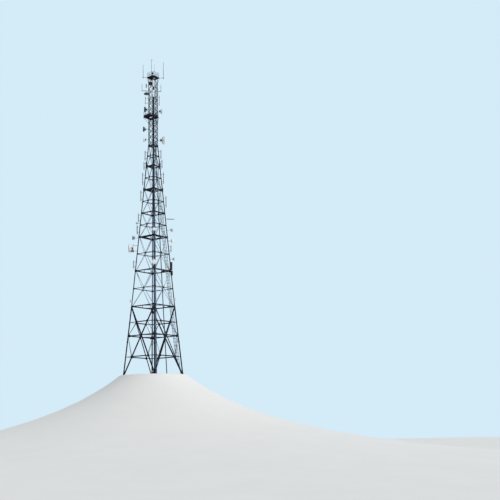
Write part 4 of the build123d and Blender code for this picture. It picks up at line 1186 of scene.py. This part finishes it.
def make_antennas():
    """Panels, dishes, their pipes and the wires behind them."""
    for node, (corner, reach, more, sizes) in PANELS.items():
        cover, metal, wires, blue, aerial = Shape(), Shape(), Shape(), Shape(), Shape()
        for z, length in sizes:
            panel(blue if (corner, z) == BLUE_PANEL else cover, metal, wires, corner, z, length, reach)
        if corner == "right":
            spot, toward = leg_point("right", 3.364), outward("right")
            aerial.turned(spot + toward * 0.036, toward,
                [(0.0085, 0), (0.0108, 0.003), (0.0108, 0.15), (0.0098, 0.157), (0.006, 0.161),
                (0, 0.1612)], 24)
            metal.bar(spot, spot + toward * 0.04, Z, 0.006, 0.005, 0.0005)
            for out in (0.034, 0.06, 0.12):
                metal.disc(spot + toward * out, toward, 0.0114, 0.004, 24)
        cover.made(f"{node}_covers", "panel_light" if corner == "near" else "panel_grey", node)
        if blue.points:
            blue.made(f"{node}_blue", "panel_blue", node)
        if aerial.points:
            aerial.made(f"{node}_aerial", "yagi_cover", node)
        metal.made(f"{node}_fittings", "mount_paint", node)
        wires.made(f"{node}_tails", "cable_jacket", node)
    for node, sizes in DISHES.items():
        back, made = Shape(), {}
        for corner, z, reach, radius, turn, facing, finish in sizes:
            extra = ()
            # The covered dish's front cover takes the painted shade finish; its radio box is brown.
            if (corner, z) == COVERED_DISH:
                extra = made.setdefault("dish_lavender", Shape()), made.setdefault("radio_brown", Shape())
            dish(made.setdefault(finish, Shape()), back, corner, z, reach, radius, turn, facing, *extra)
        for finish, s in made.items():
            s.made(f"{node}_{finish}", finish, node)
        back.made(f"{node}_backs", "mount_brown", node)

    def panel_mounts(node):
        corner, reach, more, sizes = PANELS[node]
        return [(corner, z, reach, length + more) for z, length in sizes]

    def dish_mounts(node, left=2.2, right=2.2):
        return [(corner, z, reach, radius * (left if corner == "left" else right), turn)
            for corner, z, reach, radius, turn, *_ in DISHES[node]]

    lists = {
        "left_mounts": panel_mounts("left_panels") + dish_mounts("left_dishes"),
        "right_mounts": panel_mounts("right_panels") + dish_mounts("right_dishes"),
        "near_mounts": dish_mounts("near_dishes"),
        "shaft_mounts": dish_mounts("shaft_dishes", 1.5, 1.0) + panel_mounts("shaft_panels") + PIPE_AERIALS
            + [("left", 6.41, 0.053, 0.1)],
    }
    for node, sizes in lists.items():
        s = Shape()
        for size in sizes:
            mount(s, *size)
        s.made(f"{node}_round", "mount_paint", node)


# corner, height, width, depth, its own height, turn, and more gap to the leg
BOXES = [
    ("right", 2.316, 0.056, 0.046, 0.17, -90, 0.016),
    ("right", 2.166, 0.05, 0.04, 0.096, -90, 0.014),
    ("right", 1.616, 0.04, 0.024, 0.05, 0, 0.0),
    ("left", 1.573, 0.04, 0.03, 0.052, 0, 0.0),
    ("near", 2.232, 0.056, 0.03, 0.07, 0, 0.0),
    ("near", 3.553, 0.04, 0.024, 0.18, 0, 0.0),
]


def make_boxes():
    """Cabinets and radio units with doors, hinges, fins, glands and clamps."""
    for n, (corner, z, wide, deep, tall, turn, more) in enumerate(BOXES):
        toward = outward(corner, turn)
        side = toward.cross(Z)
        gap = leg_size(z) + 0.006 + 0.0003 + more
        middle = leg_point(corner, z - tall / 2) + toward * (gap + deep / 2)
        middle.z = z
        s = Shape()
        s.box(middle, toward, (wide, deep, tall), 0.0014)
        front = middle + toward * (deep / 2)
        s.box(front + toward * 0.0004, toward, (wide - 0.006, 0.002, tall - 0.006), 0.0008)
        fins = int(wide / 0.0055)
        if tall < 0.1 or corner == "near":
            for k in range(fins):
                shift = (k + 0.5) * (wide - 0.008) / fins - (wide - 0.008) / 2
                s.box(front + toward * 0.002 + side * shift, toward, (0.0012, 0.003, tall * 0.82), 0.0003)
        else:
            for k in range(8):
                s.box(front + toward * 0.0016 + Z * (tall * 0.3 - k * 0.0042), toward,
                    (wide * 0.55, 0.0014, 0.0018), 0.0003)
            s.box(front + toward * 0.0026 + side * (wide * 0.36), toward, (0.003, 0.0034, 0.016), 0.0008)
            for k in (-0.36, 0.36):
                s.pipe(front - side * (wide * 0.46) + Z * (tall * k - 0.006),
                    front - side * (wide * 0.46) + Z * (tall * k + 0.006), 0.0016, 10)
            s.box(middle + Z * (tall / 2 + 0.0008), toward, (wide + 0.004, deep + 0.004, 0.0016), 0.0005)
        for k in range(3):
            spot = middle - Z * (tall / 2) + side * ((k - 1) * wide * 0.26)
            s.turned(spot, -Z, [(0.0022, 0), (0.0022, 0.0028), (0.0015, 0.0034), (0.0015, 0.006)], 10)
        for share in (0.2, 0.8):
            level = z + (share - 0.5) * tall
            leg = leg_point(corner, level)
            s.bar(leg, Vector((middle.x, middle.y, level)), Z, 0.005, 0.005, 0.0005)
            s.disc(leg - Z * 0.004, Z, leg_size(z) + 0.0014, 0.008, 24)
        finish = "cabinet_brown" if n < 2 else "cabinet_white" if n < 4 else "cabinet_dark"
        s.made(f"equipment_box_{n + 1}", finish, "equipment_boxes")


def make_top():
    """Whips, outrigger arms, rods and the small fittings at the top."""
    s = Shape()
    for corner, reach in (("left", 0.146), ("right", 0.075)):
        start, end = leg_point(corner, 6.29), leg_point(corner, 6.29, reach)
        s.bar(start, end + outward(corner) * 0.0022, Z, 0.01, 0.006, 0.0006)
        s.turned(end - Z * 0.0035, Z, [(0.006, 0), (0.006, 0.018), (0.0036, 0.022), (0.0036, 0.08),
            (0.005, 0.084), (0.005, 0.104), (0.0036, 0.108), (0.0036, 0.15), (0.0026, 0.162), (0, 0.1625)],
            12)
        s.disc(start - Z * 0.005, Z, 0.0082, 0.01, 20)
        s.bar(leg_point(corner, 6.235, 0.006), start + outward(corner) * (reach * 0.55), Z, 0.003, 0.0025,
            0.0003)
    s.made("outrigger_arms", "whip_paint", "outriggers")
    s = Shape()
    for corner, reach, high in (("left", 0.122, 6.905), ("right", 0.13, 6.99)):
        level = TOP_DECK + 0.0028
        start, end = leg_point(corner, level, 0.02), leg_point(corner, level, reach)
        s.bar(start, end + outward(corner) * 0.0024, Z, 0.0052, 0.006, 0.0005)
        s.turned(end - Z * 0.0025, Z, [(0, -0.014), (0.0075, -0.014), (0.008, 0.01), (0.005, 0.016),
            (0.0042, 0.02), (0.004, (high - level) * 0.55), (0.0036, (high - level) * 0.56),
            (0.003, high - level + 0.0015), (0, high - level + 0.0025)], 12)
        for out in (0.035, 0.028):
            s.box(start + outward(corner) * (out - 0.02) + Z * 0.003, outward(corner),
                (0.011, 0.004, 0.0016), 0.0003)
    foot = CENTRE + Z * (TOP_DECK + 0.0003) + outward("near") * 0.064 + outward("right") * 0.025
    s.turned(foot, Z, [(0.008, 0), (0.008, 0.0025), (0.0032, 0.004), (0.0022, 0.01), (0.0018, 0.012),
        (0.0016, 6.91 - foot.z)], 12)
    s.made("whips", "whip_paint", "top_whips")
    s = Shape()
    foot = leg_point("left", TOP_DECK, -0.063)
    tall = TIP_Z - TOP_DECK
    s.turned(foot, Z, [(0.008, 0), (0.008, 0.003), (0.0034, 0.005), (0.003, 0.03), (0.0036, 0.034),
        (0.0034, tall * 0.6), (0.003, tall * 0.62), (0.0024, tall - 0.012), (0.0003, tall)], 12)
    for turn in (0, 90):
        way = outward("right", turn)
        spot = foot + Z * (7.01 - TOP_DECK)
        s.pin(spot, way, 0.036, 0.0018)
        for sign in (-1, 1):
            s.pipe(spot + way * (0.034 * sign) - Z * 0.001, spot + way * (0.034 * sign) + Z * 0.012, 0.0014,
                8)
    s.made("lightning_rod_parts", "whip_paint", "lightning_rod")
    s = Shape()
    spot = foot + outward("right") * 0.026
    s.turned(spot, Z, [(0.012, 0), (0.012, 0.004), (0.005, 0.006), (0.005, 0.085), (0.016, 0.089),
        (0.018, 0.095), (0.018, 0.121), (0.012, 0.131), (0, 0.134)], 20)
    s.made("top_lamp", "whip_paint")
    s = Shape()
    for (corner, z, reach, long), beads in zip(PIPE_AERIALS, (4, 5)):
        pipe = leg_point(corner, z, reach)
        for n in range(beads):
            spot = pipe + Z * (long * ((n + 0.5) / beads - 0.5) * 0.94)
            s.turned(spot - Z * 0.009, Z,
                [(0, 0), (0.0052, 0.001), (0.006, 0.004), (0.006, 0.014), (0.0052, 0.017), (0, 0.018)], 14)
            s.bar(spot, spot + outward(corner) * 0.012, Z, 0.003, 0.003, 0.0003)
    pipe = leg_point("left", 6.41, 0.053)
    s.turned(pipe - Z * 0.046, Z, [(0.0085, 0), (0.0095, 0.003), (0.0095, 0.088), (0.006, 0.093),
        (0, 0.0935)], 18)
    s.made("shaft_pipe_aerials", "whip_paint")
    s = Shape()
    spot = leg_point("left", 6.248, 0.045)
    s.turned(spot, -Z, [(0, 0), (0.014, 0.0), (0.04, 0.006), (0.058, 0.022), (0.062, 0.034), (0.059, 0.036),
        (0.036, 0.018), (0, 0.01)], 36)
    s.bar(leg_point("left", 6.25), spot + outward("left") * 0.01 - Z * 0.001, Z, 0.006, 0.006, 0.0005)
    s.made("shaft_bowl_aerial", "dish_teal")
    s = Shape()
    middle = leg_point("left", 6.465, -0.045)
    s.box(middle, outward("left"), (0.05, 0.08, 0.066), 0.003)
    for n in range(4):
        s.box(middle + Z * (0.016 * n - 0.024), outward("left"), (0.054, 0.084, 0.003), 0.0006)
    s.bar(leg_point("left", 6.465), middle, Z, 0.008, 0.01, 0.0006)
    s.made("top_radio_unit", "cabinet_dark")


# ---------------------------------------------------------------- stage
def make_floor():
    """A pale mound with a flat top under the feet."""
    rings, spokes, flat, reach, drop, inner = 40, 96, 0.7, 60.0, 2.5, 0.125
    points, sides = [Vector((CENTRE.x, CENTRE.y, -0.0002))], []
    for ring in range(1, rings + 1):
        share = ring / rings
        radius = flat * share / inner
        if share > inner:
            radius = flat + (reach - flat) * ((share - inner) / (1 - inner)) ** 2.2
        fall = -drop * (1 - 1 / (1 + (radius - flat) / 3.2)) if radius > flat else 0.0
        for spoke in range(spokes):
            turn = 2 * pi * spoke / spokes
            points.append(CENTRE + Vector((radius * cos(turn), radius * sin(turn), fall - 0.0002)))
    for spoke in range(spokes):
        sides.append((0, 1 + spoke, 1 + (spoke + 1) % spokes))
    for ring in range(rings - 1):
        for spoke in range(spokes):
            a, b = 1 + ring * spokes + spoke, 1 + ring * spokes + (spoke + 1) % spokes
            sides.append((a, a + spokes, b + spokes, b))
    s = Shape()
    s.put(points, sides, True)
    floor = new_object("floor", s.mesh("floor"))
    f = Finish("floor_pale", Metallic=0.0)
    cloud = f.noise(1.5, 3.0)
    floor.data.materials.append(f.shade(f.mixed(cloud, (0.78, 0.78, 0.76), (0.84, 0.84, 0.83)),
        0.85 + cloud * 0.1))


def make_light():
    """A pale sky all round and one large soft sun from the right."""
    world = bpy.data.worlds.new("sky")
    scene.world = world
    world.use_nodes = True
    tree = world.node_tree
    tree.nodes.clear()
    out = tree.nodes.new("ShaderNodeOutputWorld")
    seen, lit = tree.nodes.new("ShaderNodeBackground"), tree.nodes.new("ShaderNodeBackground")
    for sky, colour, strength in ((seen, (0.66, 0.83, 0.94, 1), 1.0), (lit, (0.92, 0.96, 1.0, 1), 0.55)):
        sky.inputs["Color"].default_value = colour
        sky.inputs["Strength"].default_value = strength
    path = tree.nodes.new("ShaderNodeLightPath")
    mix = tree.nodes.new("ShaderNodeMixShader")
    last = path.outputs["Is Camera Ray"]
    for ray in ("Is Glossy Ray", "Is Transmission Ray"):
        either = tree.nodes.new("ShaderNodeMath")
        either.operation = "MAXIMUM"
        tree.links.new(last, either.inputs[0])
        tree.links.new(path.outputs[ray], either.inputs[1])
        last = either.outputs[0]
    tree.links.new(last, mix.inputs[0])
    tree.links.new(lit.outputs[0], mix.inputs[1])
    tree.links.new(seen.outputs[0], mix.inputs[2])
    tree.links.new(mix.outputs[0], out.inputs["Surface"])
    lamp = bpy.data.lights.new("sun", "SUN")
    lamp.energy, lamp.angle, lamp.color = 1.8, radians(12), (1.0, 0.98, 0.95)
    sun = new_object("sun", lamp)
    sun.rotation_euler = Vector((0.25, -1.0, 0.75)).to_track_quat("Z", "Y").to_euler()


def make_camera():
    """The photograph's view: from below the feet, up along the tower."""
    away, height = 19.0, -1.086
    sight, yaw, pitch, roll = radians(-47.5), radians(6.293), radians(11.138), radians(-1.262)
    eye = CENTRE + Vector((sin(sight) * away, -cos(sight) * away, height))
    heading = atan2(cos(sight), -sin(sight)) - yaw
    forward = Vector((cos(heading) * cos(pitch), sin(heading) * cos(pitch), sin(pitch)))
    side = forward.cross(Z).normalized()
    up = side.cross(forward)
    side, up = side * cos(roll) + up * sin(roll), up * cos(roll) - side * sin(roll)
    lens = bpy.data.cameras.new("view")
    lens.lens, lens.sensor_width, lens.clip_end = 64.43, 36.0, 500.0
    camera = new_object("view", lens)
    turn = Matrix((side, up, -forward)).transposed().to_4x4()
    camera.matrix_world = Matrix.Translation(eye) @ turn
    scene.camera = camera


scene.view_settings.view_transform = "Standard"
make_camera()
make_light()
make_floor()
dress_nodes()
make_legs()
make_bracing_details()
make_shaft_details()
make_decks()
make_ladder()
make_feeders()
make_leg_sleeves()
make_railings()
make_antennas()
make_boxes()
make_top()
